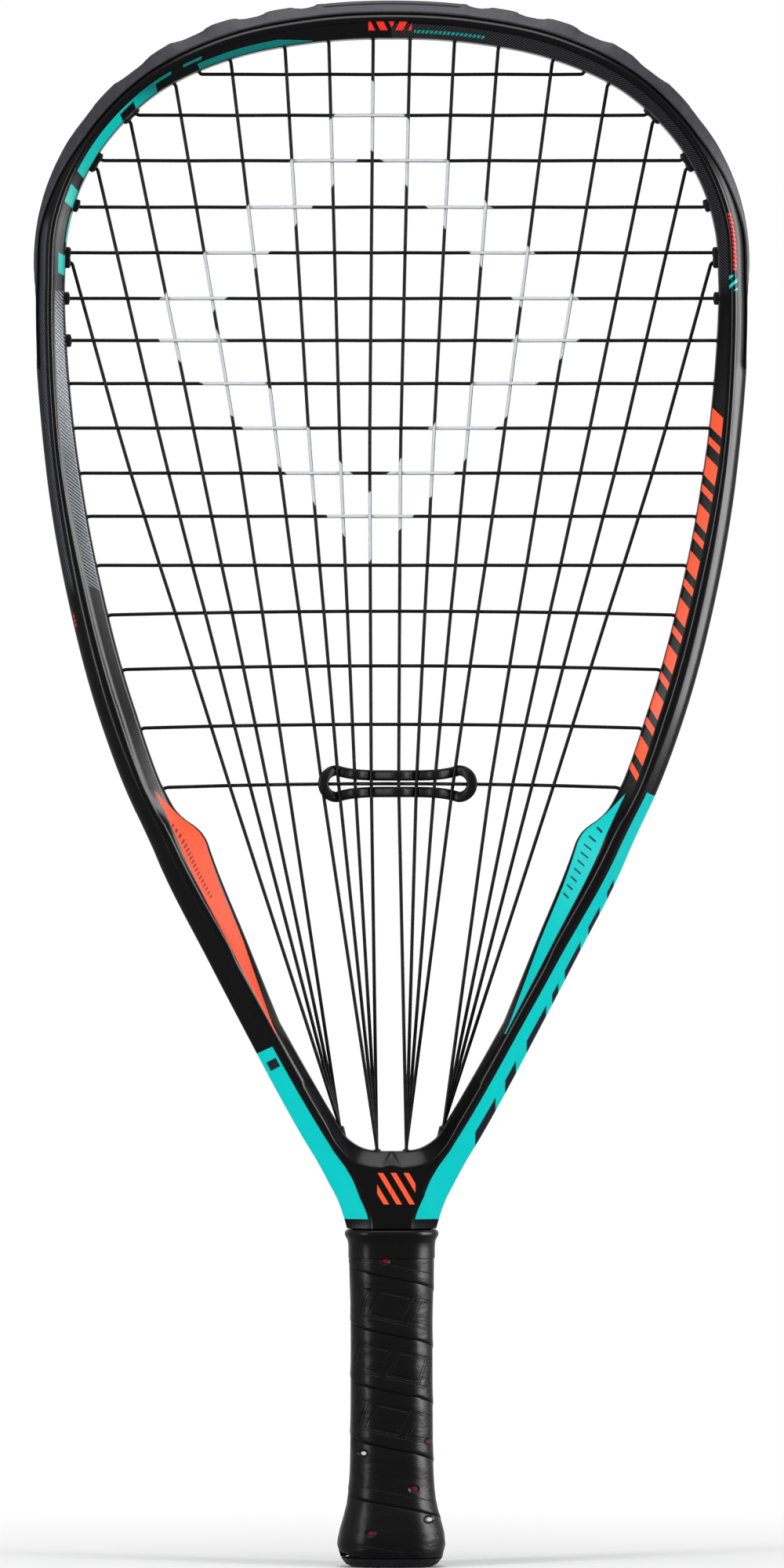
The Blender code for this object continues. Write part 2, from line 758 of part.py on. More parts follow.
def add_grommet_barrels(item, groups):
    add_boolean(item, barrels(item.name + "_barrels", groups, BARREL_HALF), 'UNION')
    proud = [group for group in groups if group[1] > FLUSH_STUB]
    if proud:
        add_boolean(item, bosses(item.name + "_bosses", proud), 'UNION')
    add_boolean(item, bores(item.name + "_bores", groups))


def make_grommet_strip(side, material):
    name = "grommet_strip_right" if side > 0 else "grommet_strip_left"
    keel = CHANNEL_HALF - FIT_GAP
    floor = -CHANNEL_DEPTH + FIT_GAP
    outline = [(floor, -keel), (floor + BASE_THICKNESS, -keel),
               (floor + BASE_THICKNESS, keel), (floor, keel)]
    bm = bmesh.new()
    sweep(bm, half_run(STRIP_START, STRIP_END, side), lambda spot: outline)
    strip = link_object(name, mesh_from(name, bm), material)
    add_grommet_barrels(strip, [g for g in HOLES if not g[2] and g[3] == side])
    return strip


def distance_from_tip(index):
    """Length along the outer edge from the tip back to a place."""
    low = int(index)
    total = 0.0
    here = Spot(index, 1).outer
    for k in range(low + 1, TIP_INDEX + 1):
        there = Spot(float(k), 1).outer
        total += (there - here).length
        here = there
    return total


def guard_thickness(distance):
    """Guard's thickness with its row of shallow notches."""
    reach = distance_from_tip(GUARD_START)
    thinning = max(0.0, distance - (reach - GUARD_THINNING)) / GUARD_THINNING
    base = blend(GUARD_THICKNESS, GUARD_END_THICKNESS, thinning)
    for start, end, depth in NOTCH_ROWS:
        if start < distance < end:
            share = (distance - start) / (end - start)
            base -= depth * min(1.0, share / NOTCH_FALL, (1.0 - share) / NOTCH_RISE)
    return base


def guard_profile(spot):
    distance = distance_from_tip(spot.index)
    top = guard_thickness(distance)
    fade = min(1.0, max(0.0, (distance - LIP_REACH) / LIP_FADE))
    cover = blend(LIP_COVER, LIP_END_COVER, fade)
    edge = Vector((0.0, OUTER_WALL_HALF))
    ridge = Vector((-spot.bevel, BEAM_HALF_DEPTH - RIDGE_DROP))
    down = ridge - edge
    away = Vector((down.y, -down.x)).normalized()
    lip_inner = edge + down * cover + away * FIT_GAP
    lip_outer = lip_inner + away * LIP_THICKNESS
    keel = CHANNEL_HALF - FIT_GAP
    floor = -CHANNEL_DEPTH + FIT_GAP
    half = [
        (floor + BASE_THICKNESS, GROOVE_HALF),
        (top, GROOVE_HALF),
        (top, GUARD_SIDE_HALF),
        (lip_outer.x, lip_outer.y),
        (lip_inner.x, lip_inner.y),
        (FIT_GAP, OUTER_WALL_HALF + FIT_GAP / 2),
        (FIT_GAP, keel),
        (floor, keel),
    ]
    return [(u, -y) for u, y in half] + [(u, y) for u, y in reversed(half)]


def make_bumper_guard(material):
    bm = bmesh.new()
    sweep(bm, full_run(GUARD_START, NOTCH_PLACES), guard_profile)
    guard = link_object("bumper_guard", mesh_from("bumper_guard", bm, 40), material)
    add_grommet_barrels(guard, [g for g in HOLES if g[2]])
    return guard


def make_port_bushing(bunch, material):
    name = "port_bushing_" + ("left_outer", "left_inner", "right_inner", "right_outer")[bunch]
    axis = port_axis(bunch)
    spot = port_spot(bunch)
    bm = bmesh.new()
    add_block(bm, spot + axis * PORT_PROUD, -axis, PORT_PROUD + PORT_LENGTH,
              PORT_HALF_WIDTH, port_half_depth())
    bushing = link_object(name, mesh_from(name, bm), material)
    cut = bmesh.new()
    for lane in range(PORT_BUNCH):
        depth = (lane - (PORT_BUNCH - 1) / 2) * PORT_LANE_PITCH
        start = spot + axis * (PORT_PROUD + BORE_OVERRUN) + Vector((0.0, depth, 0.0))
        add_prism(cut, [start], -axis, BORE_HALF, PORT_PROUD + PORT_LENGTH + 2 * BORE_OVERRUN, 4)
    add_boolean(bushing, cutter_from(name + "_bores", cut))
    return bushing


def make_string(name, points, material):
    """Tube along points, each with its own share of the string's radius."""
    curve = bpy.data.curves.new(name, 'CURVE')
    curve.dimensions = '3D'
    curve.bevel_depth = STRING_RADIUS
    curve.bevel_resolution = STRING_SIDES_LEVEL
    curve.use_fill_caps = True
    spline = curve.splines.new('POLY')
    spline.points.add(len(points) - 1)
    for target, (place, scale) in zip(spline.points, points):
        target.co = (*place, 1.0)
        target.radius = scale
    return link_object(name, curve, material)


STRING_LIFT = -CHANNEL_DEPTH + FIT_GAP + BASE_THICKNESS + STRING_RIDE


def groove_run(start, end, lane):
    """Points in the outer groove between two holes, at each station on the way."""
    if start.side == end.side:
        low, high = sorted((start.index, end.index))
        between = [Spot(float(k), start.side) for k in range(TIP_INDEX)
                   if low + STATION_MARGIN < k < high - STATION_MARGIN]
        if start.index > end.index:
            between.reverse()
    else:
        rise = [Spot(float(k), start.side) for k in range(TIP_INDEX + 1)
                if k > start.index + STATION_MARGIN]
        fall = [Spot(float(k), end.side) for k in range(TIP_INDEX) if k > end.index + STATION_MARGIN]
        between = rise + list(reversed(fall))
    return [(spot.from_outer(STRING_LIFT, lane), 1.0) for spot in between]


def main_crosses(main, cross):
    """Whether a cross string passes a main string inside the head."""
    return cross_level(cross) < main_spot(main).inner.z - FIRST_CROSS_ROOM


def main_exit(main):
    """Where a main string leaves its hole in the head."""
    side, number = main_side(main)
    paired = {pair: cross for cross, pair in SHARED_HOLE_NUMBERS}
    stub = cross_stub(paired[number], side) if number in paired else FLUSH_STUB
    return main_spot(main).from_inner(stub + STRING_TURN, LANE_OFFSET)


def main_x(main, height):
    """Where a main string stands at a height in the bed."""
    hole = main_exit(main)
    mid = bed_point(main, MAIN_MID_SHARES, MID_HEIGHT, BED_DRIFT)
    low = bed_point(main, MAIN_LOW_SHARES, LOW_HEIGHT, BED_DRIFT)
    above, below = (hole, mid) if height > mid.z else (mid, low)
    share = (height - below.z) / (above.z - below.z)
    return blend(below.x, above.x, share)


def main_descent(main):
    """Points of a main string from its hole in the head down into its port."""
    points = [main_spot(main).from_outer(STRING_LIFT, LANE_OFFSET), main_exit(main)]
    first = next(c for c in range(CROSS_COUNT) if main_crosses(main, c))
    height = cross_level(first)
    points.append(Vector((main_x(main, height), 0.0, height)))
    points.append(bed_point(main, MAIN_MID_SHARES, MID_HEIGHT, BED_DRIFT))
    points.append(bed_point(main, MAIN_LOW_SHARES, LOW_HEIGHT, BED_DRIFT))
    bunch = main // PORT_BUNCH
    port = port_spot(bunch)
    axis = port_axis(bunch)
    lane = Vector((0.0, lane_depth(main), 0.0))
    points.append(port + axis * (PORT_PROUD + 2 * FIT_GAP) + lane)
    points.append(port - axis * (PORT_LENGTH + PORT_TURN_DROP) + lane)
    return points


def main_route():
    """One unbroken string: down a main, round in its port, up the next and over the head."""
    knot_spot = main_spot(0)
    route = [(knot_spot.from_outer(STRING_LIFT + KNOT_LIFT, LANE_OFFSET, KNOT_END), KNOT_SCALE),
             (knot_spot.from_outer(STRING_LIFT + KNOT_LIFT, LANE_OFFSET, KNOT_START), KNOT_SCALE)]
    for main in range(0, MAIN_COUNT, 2):
        down = main_descent(main)
        up = main_descent(main + 1)
        route += [(p, 1.0) for p in down]
        axis = port_axis(main // PORT_BUNCH)
        for share in (0.3, 0.7):
            route.append((down[-1].lerp(up[-1], share) - axis * PORT_TURN_DEPTH, 1.0))
        route += [(p, 1.0) for p in reversed(up)]
        if main + 2 < MAIN_COUNT:
            route += groove_run(main_spot(main + 1), main_spot(main + 2), LANE_OFFSET)
    knot_spot = main_spot(MAIN_COUNT - 1)
    route.append((knot_spot.from_outer(STRING_LIFT + KNOT_LIFT, LANE_OFFSET, -KNOT_START),
                  KNOT_SCALE))
    route.append((knot_spot.from_outer(STRING_LIFT + KNOT_LIFT, LANE_OFFSET, -KNOT_END),
                  KNOT_SCALE))
    return route


def cross_height(cross, offset):
    """Height of a cross string, the lowest ones bowed up in the middle."""
    height = cross_level(cross)
    if cross < CROSS_COUNT - BOWED_CROSSES:
        return height
    share = offset / half_opening(height)
    return height + CROSS_BOW * (1.0 - share ** 2)


def cross_points(cross):
    """Points of a cross string from left to right, woven over and under the mains."""
    height = cross_level(cross)
    left = cross_spot(cross, -1)
    right = cross_spot(cross, 1)
    points = [left.from_outer(STRING_LIFT, -LANE_OFFSET),
              left.from_inner(cross_stub(cross, -1) + STRING_TURN, -LANE_OFFSET)]
    for main in range(MAIN_COUNT):
        if not main_crosses(main, cross):
            continue
        offset = main_x(main, height)
        beside = main_side(main)[1] < len(SHARED_HOLE_NUMBERS) and not main_crosses(main, cross - 1)
        lift = CROSS_LIFT if (main + cross) % 2 and not beside else -CROSS_LIFT
        points.append(Vector((offset, lift, cross_height(cross, offset))))
    points.append(right.from_inner(cross_stub(cross, 1) + STRING_TURN, -LANE_OFFSET))
    points.append(right.from_outer(STRING_LIFT, -LANE_OFFSET))
    return points


def cross_route():
    """One unbroken string, back and forth from the tip to the throat."""
    start = cross_spot(0, -1)
    route = [(start.from_outer(STRING_LIFT + KNOT_LIFT, -LANE_OFFSET, KNOT_END), KNOT_SCALE),
             (start.from_outer(STRING_LIFT + KNOT_LIFT, -LANE_OFFSET, KNOT_START), KNOT_SCALE)]
    for cross in range(CROSS_COUNT):
        points = cross_points(cross)
        side = 1
        if cross % 2:
            points.reverse()
            side = -1
        route += [(p, 1.0) for p in points]
        if cross + 1 < CROSS_COUNT:
            route += groove_run(cross_spot(cross, side), cross_spot(cross + 1, side), -LANE_OFFSET)
    end = cross_spot(CROSS_COUNT - 1, -1)
    route.append((end.from_outer(STRING_LIFT + KNOT_LIFT, -LANE_OFFSET, KNOT_START), KNOT_SCALE))
    route.append((end.from_outer(STRING_LIFT + KNOT_LIFT, -LANE_OFFSET, KNOT_END), KNOT_SCALE))
    return route


def damper_path():
    """Closed path of the damper's centre line with its in-plane directions."""
    last = CROSS_COUNT - 1
    middle = cross_height(last, 0.0)
    mains = range(DAMPER_FIRST_MAIN, DAMPER_FIRST_MAIN + DAMPER_MAINS)
    wave = []
    for n, main in enumerate(mains):
        wave.append((main_x(main, LOW_HEIGHT), -DAMPER_WEAVE if n % 2 == 0 else DAMPER_WEAVE))
    wave.append((wave[-1][0] + DAMPER_RIGHT_REACH, -DAMPER_END_LIFT))

    def weave(offset):
        if offset <= wave[0][0]:
            return wave[0][1]
        for (x0, y0), (x1, y1) in zip(wave, wave[1:]):
            if offset <= x1:
                share = (offset - x0) / (x1 - x0)
                return blend(y0, y1, (1 - math.cos(math.pi * share)) / 2)
        return wave[-1][1]

    left = wave[0][0] - DAMPER_LEFT_REACH + DAMPER_END_RADIUS
    right = wave[-1][0] - DAMPER_END_RADIUS
    centre = (left + right) / 2
    half = (right - left) / 2

    def spread(offset):
        share = min(1.0, abs(offset - centre) / half)
        return blend(DAMPER_WAIST, DAMPER_END_RADIUS, share ** 4)

    offsets = []
    for (x0, _), (x1, _) in zip(wave, wave[1:-1]):
        offsets += [x0, blend(x0, x1, 0.2), blend(x0, x1, 0.8)]
    offsets.append(wave[-2][0])
    offsets = [x for x in offsets if left < x < right]
    turn_steps = 8
    path = []
    for n in range(turn_steps + 1):
        angle = math.pi / 2 + math.pi * n / turn_steps
        offset = left + DAMPER_END_RADIUS * math.cos(angle)
        path.append(Vector((offset, weave(offset), middle + DAMPER_END_RADIUS * math.sin(angle))))
    for offset in offsets:
        path.append(Vector((offset, weave(offset), middle - spread(offset))))
    for n in range(turn_steps + 1):
        angle = -math.pi / 2 + math.pi * n / turn_steps
        offset = right + DAMPER_END_RADIUS * math.cos(angle)
        path.append(Vector((offset, weave(offset), middle + DAMPER_END_RADIUS * math.sin(angle))))
    for offset in reversed(offsets):
        path.append(Vector((offset, weave(offset), middle + spread(offset))))
    return path


def make_damper(material):
    path = damper_path()
    sides = 6
    bm = bmesh.new()
    rings = []
    for k, here in enumerate(path):
        along = (path[(k + 1) % len(path)] - path[k - 1]).normalized()
        across = along.cross(Vector((0.0, 1.0, 0.0))).normalized()
        deep = across.cross(along).normalized()
        ring = []
        for n in range(sides):
            angle = 2 * math.pi * (n + 0.5) / sides
            ring.append(bm.verts.new(here + across * (DAMPER_HALF_HEIGHT * math.cos(angle))
                                     + deep * (DAMPER_HALF_DEPTH * math.sin(angle))))
        rings.append(ring)
    rings.append(rings[0])
    loft(bm, rings)
    return link_object("vibration_damper", mesh_from("vibration_damper", bm, 60), material)


def grip_half_width(height):
    """Half width of the wrapped handle at a height, by straight runs between its rows."""
    for (low, low_half), (high, high_half) in zip(GRIP_ROWS, GRIP_ROWS[1:]):
        if height <= high:
            return blend(low_half, high_half, max(0.0, height - low) / (high - low))
    return GRIP_ROWS[-1][1]


def handle_ring(height, half_width, half_depth, squareness=GRIP_SQUARENESS):
    """Rounded rectangular ring of points."""
    points = []
    for n in range(GRIP_SIDES):
        points.append(handle_point(2 * math.pi * n / GRIP_SIDES, height, half_width, half_depth,
                                   squareness))
    return points


def handle_point(angle, height, half_width, half_depth, squareness=GRIP_SQUARENESS):
    cosine, sine = math.cos(angle), math.sin(angle)
    power = 2 / squareness
    x = half_width * math.copysign(abs(cosine) ** power, cosine)
    y = half_depth * math.copysign(abs(sine) ** power, sine)
    return Vector((x, y, height))


def grip_ring(height, inset):
    half = grip_half_width(height) - inset
    return handle_ring(height, half, half - GRIP_FLATTENING)


def shell_of_rings(bm, outer, inner):
    """Tube between an outer and an inner stack of rings, both listed upwards, open right through."""
    outside = [[bm.verts.new(p) for p in ring] for ring in outer]
    inside = [[bm.verts.new(p) for p in ring] for ring in inner]
    loft(bm, outside)
    loft(bm, inside)
    loft(bm, [outside[0], inside[0]])
    loft(bm, [outside[-1], inside[-1]])


def make_pallet(material):
    inset = TAPE_THICKNESS + 1.5 * FIT_GAP
    cap_bore = grip_half_width(CAP_TOP) - inset - CAP_WALL - FIT_GAP
    outer = [handle_ring(PALLET_LOW, cap_bore, cap_bore - GRIP_FLATTENING),
             handle_ring(CAP_TOP + FIT_GAP, cap_bore, cap_bore - GRIP_FLATTENING),
             grip_ring(CAP_TOP + 2 * FIT_GAP, inset)]
    outer += [grip_ring(z, inset) for z, _ in GRIP_ROWS if CAP_TOP + 2 * FIT_GAP < z < PALLET_HIGH]
    outer.append(grip_ring(PALLET_HIGH, inset))
    bore_width = SHAFT_HALF_WIDTH + FIT_GAP
    bore_depth = SHAFT_HALF_DEPTH + FIT_GAP
    inner = [handle_ring(z, bore_width, bore_depth, 6.0) for z in (PALLET_LOW, PALLET_HIGH)]
    bm = bmesh.new()
    shell_of_rings(bm, outer, inner)
    return link_object("handle_pallet", mesh_from("handle_pallet", bm, 40), material)


def make_butt_cap(material):
    inset = TAPE_THICKNESS + FIT_GAP + CAP_EXTRA_INSET
    base = grip_half_width(0.0)
    outer = [handle_ring(z, base - edge, base - edge - GRIP_FLATTENING) for z, edge in CAP_EDGE_ROWS]
    outer += [grip_ring(CAP_FLANGE, 0.0), grip_ring(CAP_FLANGE + CAP_SHELF_SLOPE, inset)]
    outer += [grip_ring(z, inset) for z, _ in GRIP_ROWS if CAP_FLANGE < z < CAP_TOP]
    outer.append(grip_ring(CAP_TOP, TAPE_THICKNESS + FIT_GAP))
    bore = grip_half_width(CAP_TOP) - TAPE_THICKNESS - FIT_GAP - CAP_WALL
    floor = PALLET_LOW - FIT_GAP
    outer += [handle_ring(z, bore, bore - GRIP_FLATTENING) for z in (CAP_TOP, floor)]
    bm = bmesh.new()
    rings = [[bm.verts.new(p) for p in ring] for ring in outer]
    loft(bm, rings)
    bm.faces.new(rings[0])
    bm.faces.new(rings[-1])
    cap = link_object("butt_cap", mesh_from("butt_cap", bm, 40), material)
    eyelets = bmesh.new()
    for side in (-1, 1):
        start = Vector((side * EYELET_OFFSET, 0.0, floor + CAP_FLANGE))
        add_prism(eyelets, [start], Vector((0.0, 0.0, -1.0)), EYELET_RADIUS, floor + 2 * CAP_FLANGE, 8)
    add_boolean(cap, cutter_from("cord_eyelets", eyelets))
    return cap


def tape_section(turn):
    """Eight points of the tape's section where it has made a number of turns."""
    lower = TAPE_LOW + TAPE_START_WIDTH - (TAPE_PITCH - TAPE_GAP) + TAPE_PITCH * turn
    upper = lower + TAPE_PITCH - TAPE_GAP
    angle = 2 * math.pi * (TAPE_START_SHARE - turn)

    def clamp(height):
        return min(max(height, TAPE_LOW), TAPE_HIGH)

    points = []
    for skive, inset, order in ((0.0, 0.0, (0, 1, 2, 3)), (TAPE_SKIVE, TAPE_THICKNESS, (3, 2, 1, 0))):
        start = clamp(lower + skive)
        end = clamp(upper + skive)
        for n in order:
            height = blend(start, end, n / 3)
            half = grip_half_width(height) - inset
            points.append(handle_point(angle, height, half, half - GRIP_FLATTENING))
    return points


def tape_turns():
    span = TAPE_HIGH - TAPE_END_WIDTH - TAPE_LOW - TAPE_START_WIDTH + TAPE_PITCH - TAPE_GAP
    return span / TAPE_PITCH


def make_grip_tape(material):
    steps = int(tape_turns() * GRIP_SIDES)
    sections = [tape_section(k / GRIP_SIDES) for k in range(steps + 1)]
    bm = bmesh.new()
    rings = [[bm.verts.new(p) for p in section] for section in sections]
    loft(bm, rings)
    bm.faces.new(rings[0])
    bm.faces.new(list(reversed(rings[-1])))
    report_tape_gap(sections)
    return link_object("grip_tape", mesh_from("grip_tape", bm, 50), material)


def report_tape_gap(sections):
    """Print the least gap between one turn of the tape and the next."""
    least = 1.0
    for low, high in zip(sections, sections[GRIP_SIDES:]):
        top_edge = [low[3].lerp(low[4], k / 10) for k in range(11)]
        bottom_edge = [high[0].lerp(high[7], k / 10) for k in range(11)]
        least = min([least] + [(a - b).length for a in top_edge for b in bottom_edge])
    print("grip tape, least gap between turns: %.2f mm" % (least * 1000))


def make_collar(material):
    pallet = grip_half_width(PALLET_HIGH) - TAPE_THICKNESS
    neck_width = NECK_HALF_WIDTH + COLLAR_NECK_ROOM
    neck_depth = NECK_HALF_DEPTH + COLLAR_NECK_ROOM + 2 * FIT_GAP
    outer = [handle_ring(z, half, half - GRIP_FLATTENING) for z, half in COLLAR_ROWS]
    inner = [handle_ring(COLLAR_ROWS[0][0], pallet, pallet - GRIP_FLATTENING),
             handle_ring(PALLET_HIGH + FIT_GAP, pallet, pallet - GRIP_FLATTENING),
             handle_ring(NECK_HEIGHT - COLLAR_LEDGE_DROP, neck_width, neck_depth),
             handle_ring(COLLAR_ROWS[-1][0], neck_width, neck_depth)]
    bm = bmesh.new()
    shell_of_rings(bm, outer, inner)
    return link_object("grip_collar", mesh_from("grip_collar", bm, 50), material)


def build():
    for item in list(bpy.data.objects):
        bpy.data.objects.remove(item)
    make_frame(make_material("carbon_moulding", (0.012, 0.012, 0.014), 0.25))
    make_bumper_guard(make_material("guard_plastic", (0.045, 0.045, 0.052), 0.45))
    for side in (-1, 1):
        make_grommet_strip(side, make_material("strip_plastic", (0.010, 0.010, 0.011), 0.45))
    for bunch in range(4):
        make_port_bushing(bunch, make_material("bushing_plastic", (0.010, 0.010, 0.011), 0.45))
    make_string("main_string", main_route(), make_material("main_gut", (0.015, 0.015, 0.015), 0.35))
    make_string("cross_string", cross_route(), make_material("cross_gut", (0.015, 0.015, 0.015), 0.35))
    make_damper(make_material("damper_rubber", (0.010, 0.010, 0.010), 0.55))
    make_pallet(make_material("pallet_foam", (0.080, 0.075, 0.070), 0.80))
    make_butt_cap(make_material("cap_plastic", (0.012, 0.012, 0.012), 0.50))
    make_grip_tape(make_material("grip_polymer", (0.020, 0.019, 0.018), 0.38))
    make_collar(make_material("collar_rubber", (0.016, 0.016, 0.017), 0.40))


build()
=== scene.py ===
from math import copysign, cos, hypot, pi, radians, sin

import bmesh
import bpy
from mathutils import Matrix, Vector


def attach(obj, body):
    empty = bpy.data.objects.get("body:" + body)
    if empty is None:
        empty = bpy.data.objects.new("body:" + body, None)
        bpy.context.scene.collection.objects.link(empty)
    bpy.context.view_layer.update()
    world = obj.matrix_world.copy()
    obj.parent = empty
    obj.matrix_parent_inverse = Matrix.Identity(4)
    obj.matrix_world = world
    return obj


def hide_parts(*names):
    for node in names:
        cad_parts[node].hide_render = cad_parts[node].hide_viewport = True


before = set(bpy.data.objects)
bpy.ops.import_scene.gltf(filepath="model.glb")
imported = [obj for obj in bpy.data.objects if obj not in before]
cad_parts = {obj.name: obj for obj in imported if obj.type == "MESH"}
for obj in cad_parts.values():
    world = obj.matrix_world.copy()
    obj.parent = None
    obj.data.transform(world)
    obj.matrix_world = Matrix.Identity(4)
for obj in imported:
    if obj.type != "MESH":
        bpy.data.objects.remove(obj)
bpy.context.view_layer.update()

# Sizes are in metres. A share of the height runs from the throat to the tip.
LENGTH = 0.5588
FRAME_HALF = 0.1265
GAP = 0.0003
THROAT_HEIGHT = 0.1243
THROAT_HALF_WIDTH = 0.0170
# The rail: shares of half width and height, width across, outer bevel
RAIL_ROWS = (
    (0.3186, 0.1018, 0.0130, 0.0066), (0.4032, 0.1483, 0.0125, 0.0062),
    (0.5170, 0.2121, 0.0155, 0.0054), (0.6617, 0.2965, 0.0191, 0.0038),
    (0.6690, 0.3017, 0.0187, 0.0037), (0.6870, 0.3134, 0.0152, 0.0036),
    (0.7014, 0.3225, 0.0130, 0.0035), (0.7399, 0.3463, 0.0125, 0.0032),
    (0.8190, 0.4073, 0.0132, 0.0030), (0.9138, 0.5110, 0.0128, 0.0030),
    (0.9692, 0.6031, 0.0122, 0.0030), (0.9960, 0.6956, 0.0108, 0.0030),
    (1.0000, 0.7696, 0.0098, 0.0030), (0.9881, 0.8237, 0.0101, 0.0030),
    (0.9486, 0.8594, 0.0098, 0.0030), (0.8759, 0.8971, 0.0097, 0.0030),
    (0.7083, 0.9473, 0.0101, 0.0030), (0.4917, 0.9792, 0.0108, 0.0030),
    (0.2356, 0.9958, 0.0112, 0.0030), (0.0000, 1.0000, 0.0114, 0.0030),
)
BRIDGE_HEIGHT = 0.1481
# The yoke: shares of half width and height, inner edge's place, outer and inner bevel
YOKE_ROWS = (
    (0.1344, 0.0000, 0.0000, 0.0000, 0.0096, 0.0060),
    (0.1526, 0.0150, 0.0050, 0.0002, 0.0090, 0.0058),
    (0.1771, 0.0289, 0.0100, 0.0011, 0.0084, 0.0048),
    (0.2063, 0.0449, 0.0155, 0.0045, 0.0072, 0.0036),
    (0.2506, 0.0664, 0.0206, 0.0123, 0.0070, 0.0030),
)
BEAM_HALF_DEPTH = 0.0110
THROAT_HALF_DEPTH = 0.0118
OUTER_WALL_HALF = 0.0060
INNER_WALL_HALF = 0.0062
WING_EDGE_HALF = 0.0035
WING_LOW_SHARE = 0.1483
WING_HIGH_SHARE = 0.3463
RIDGE_WIDTH = 0.0040
RIDGE_DROP = 0.0010
RIDGE_SPREAD = 0.0012
SHOULDER_HEIGHT = 0.1207
SHOULDER_HALF_WIDTH = 0.0160
SHOULDER_BEVEL = 0.0080
WING_RISE = 0.03
WING_RISE_SPAN = 0.05
WING_FALL = 0.035
SOFTENED_SHARES = (0.15, 0.40)
# The shaft in the handle: height, half width, half depth
SHAFT_ROWS = (
    (0.0120, 0.0095, 0.0075), (0.1155, 0.0095, 0.0075),
    (0.1193, 0.0136, 0.0104), (0.1202, 0.0139, 0.0107),
)
INNER_CORNER = 0.0014
CORNER_GROWTH = 0.35
WEB_FALL_SHARE = 0.82
WEB_STEPS = 14
BRIDGE_STEPS = 8
BEVEL_BULGE = 0.00035
CROWN_SWELL = 0.0002
TIP_RIDGE_GAIN = 0.0008
WALL_SWELL = 0.0006
WALL_SWELL_RUN = 0.036
CHANNEL_DEPTH = 0.0028
CHANNEL_HALF = 0.0034
CHANNEL_RAMP = 0.0025
BASE_THICKNESS = 0.0008
GROOVE_HALF = 0.0023
BORE_HALF = 0.00093
BARREL_HALF = 0.00153
BARREL_SUNK = 0.0009
SIDE_STUB = 0.0016
SHOULDER_STUB = 0.0008
FLUSH_STUB = 0.0004
EXIT_ROOM = 0.0007
LAST_PROUD_CROSS = {-1: 6, 1: 5}
LANE_OFFSET = 0.0010
PAIR_PITCH = 0.0036
STRIP_MARGIN = 0.0070
GUARD_THICKNESS = 0.0022
GUARD_MARGIN = 0.0100
LIP_THICKNESS = 0.0007
LIP_REACH = 0.1250
LIP_FADE = 0.0400
LIP_COVER = 0.90
LIP_END_COVER = 0.15
GUARD_SIDE_HALF = 0.0064
# The guard: distance from the tip and thickness, in millimetres
GUARD_ROWS = (
    (0.0, 2.2), (24.0, 2.15), (26.2, 2.3), (28.0, 1.65), (30.0, 1.38), (32.0, 1.4), (34.0, 1.8),
    (36.0, 2.35), (42.0, 2.4), (44.2, 2.3), (46.0, 1.7), (48.0, 1.42), (52.0, 1.5), (54.0, 1.85),
    (56.0, 2.65), (58.0, 2.88), (64.0, 3.0), (66.0, 2.75), (68.0, 2.12), (70.0, 1.92), (74.0, 1.85),
    (76.0, 1.92), (78.0, 2.32), (80.0, 2.82), (84.0, 2.65), (88.0, 2.45), (90.0, 2.05), (92.0, 1.6),
    (94.0, 1.42), (98.0, 1.47), (100.0, 1.57), (102.0, 1.85), (104.0, 2.27), (110.0, 2.22),
    (114.0, 2.12), (116.0, 1.9), (120.0, 1.78), (126.0, 1.92), (130.0, 2.02), (138.0, 1.85),
    (146.0, 1.7), (150.0, 1.6), (156.0, 1.42), (162.0, 1.28), (172.0, 1.38), (176.0, 1.32),
    (180.0, 1.08), (184.0, 0.68), (188.0, 0.38), (192.0, 0.22), (196.0, 0.12), (200.0, 0.1),
    (204.0, 0.1), (208.0, 0.35), (210.0, 0.48), (213.0, 0.58), (240.0, 0.58),
)
PANEL_HALF = 0.0245
PANEL_DEPTH = 0.0004
BOSS_HALF_LENGTH = 0.0023
BOSS_END = 0.0020
BOSS_HALF_DEPTH = 0.0030
STRING_RADIUS = 0.000625
MAIN_WEAVE = 0.00034
CROSS_WEAVE = 0.00090
WEAVE_STEPS = 6
# Shares of the half width at the holes, and of the half opening at two heights below
MAIN_HOLE_SHARES = (0.6134, 0.4561, 0.3020, 0.1779, 0.0522)
MAIN_MID_SHARES = (0.852, 0.728, 0.616, 0.489, 0.357, 0.249, 0.148, 0.049)
MAIN_LOW_SHARES = (0.709, 0.618, 0.536, 0.443, 0.287, 0.210, 0.134, 0.060)
MID_SHARE = 0.3702
CROSS_SHARES = (
    0.0317, 0.0685, 0.1093, 0.1511, 0.1921, 0.2332, 0.2710, 0.3097,
    0.3498, 0.3903, 0.4291, 0.4732, 0.5178, 0.5669, 0.6195, 0.6729,
)
GUARDED_CROSSES = 7
BOWED_CROSSES = 4
CROSS_BOW = 0.0013
BED_DRIFT = 0.0026
DRIFT_FADE = 0.055
# Crosses and mains that leave through one grommet
SHARED_HOLES = ((4, 0), (2, 1), (1, 2))
KNOT_TAIL = 0.0046
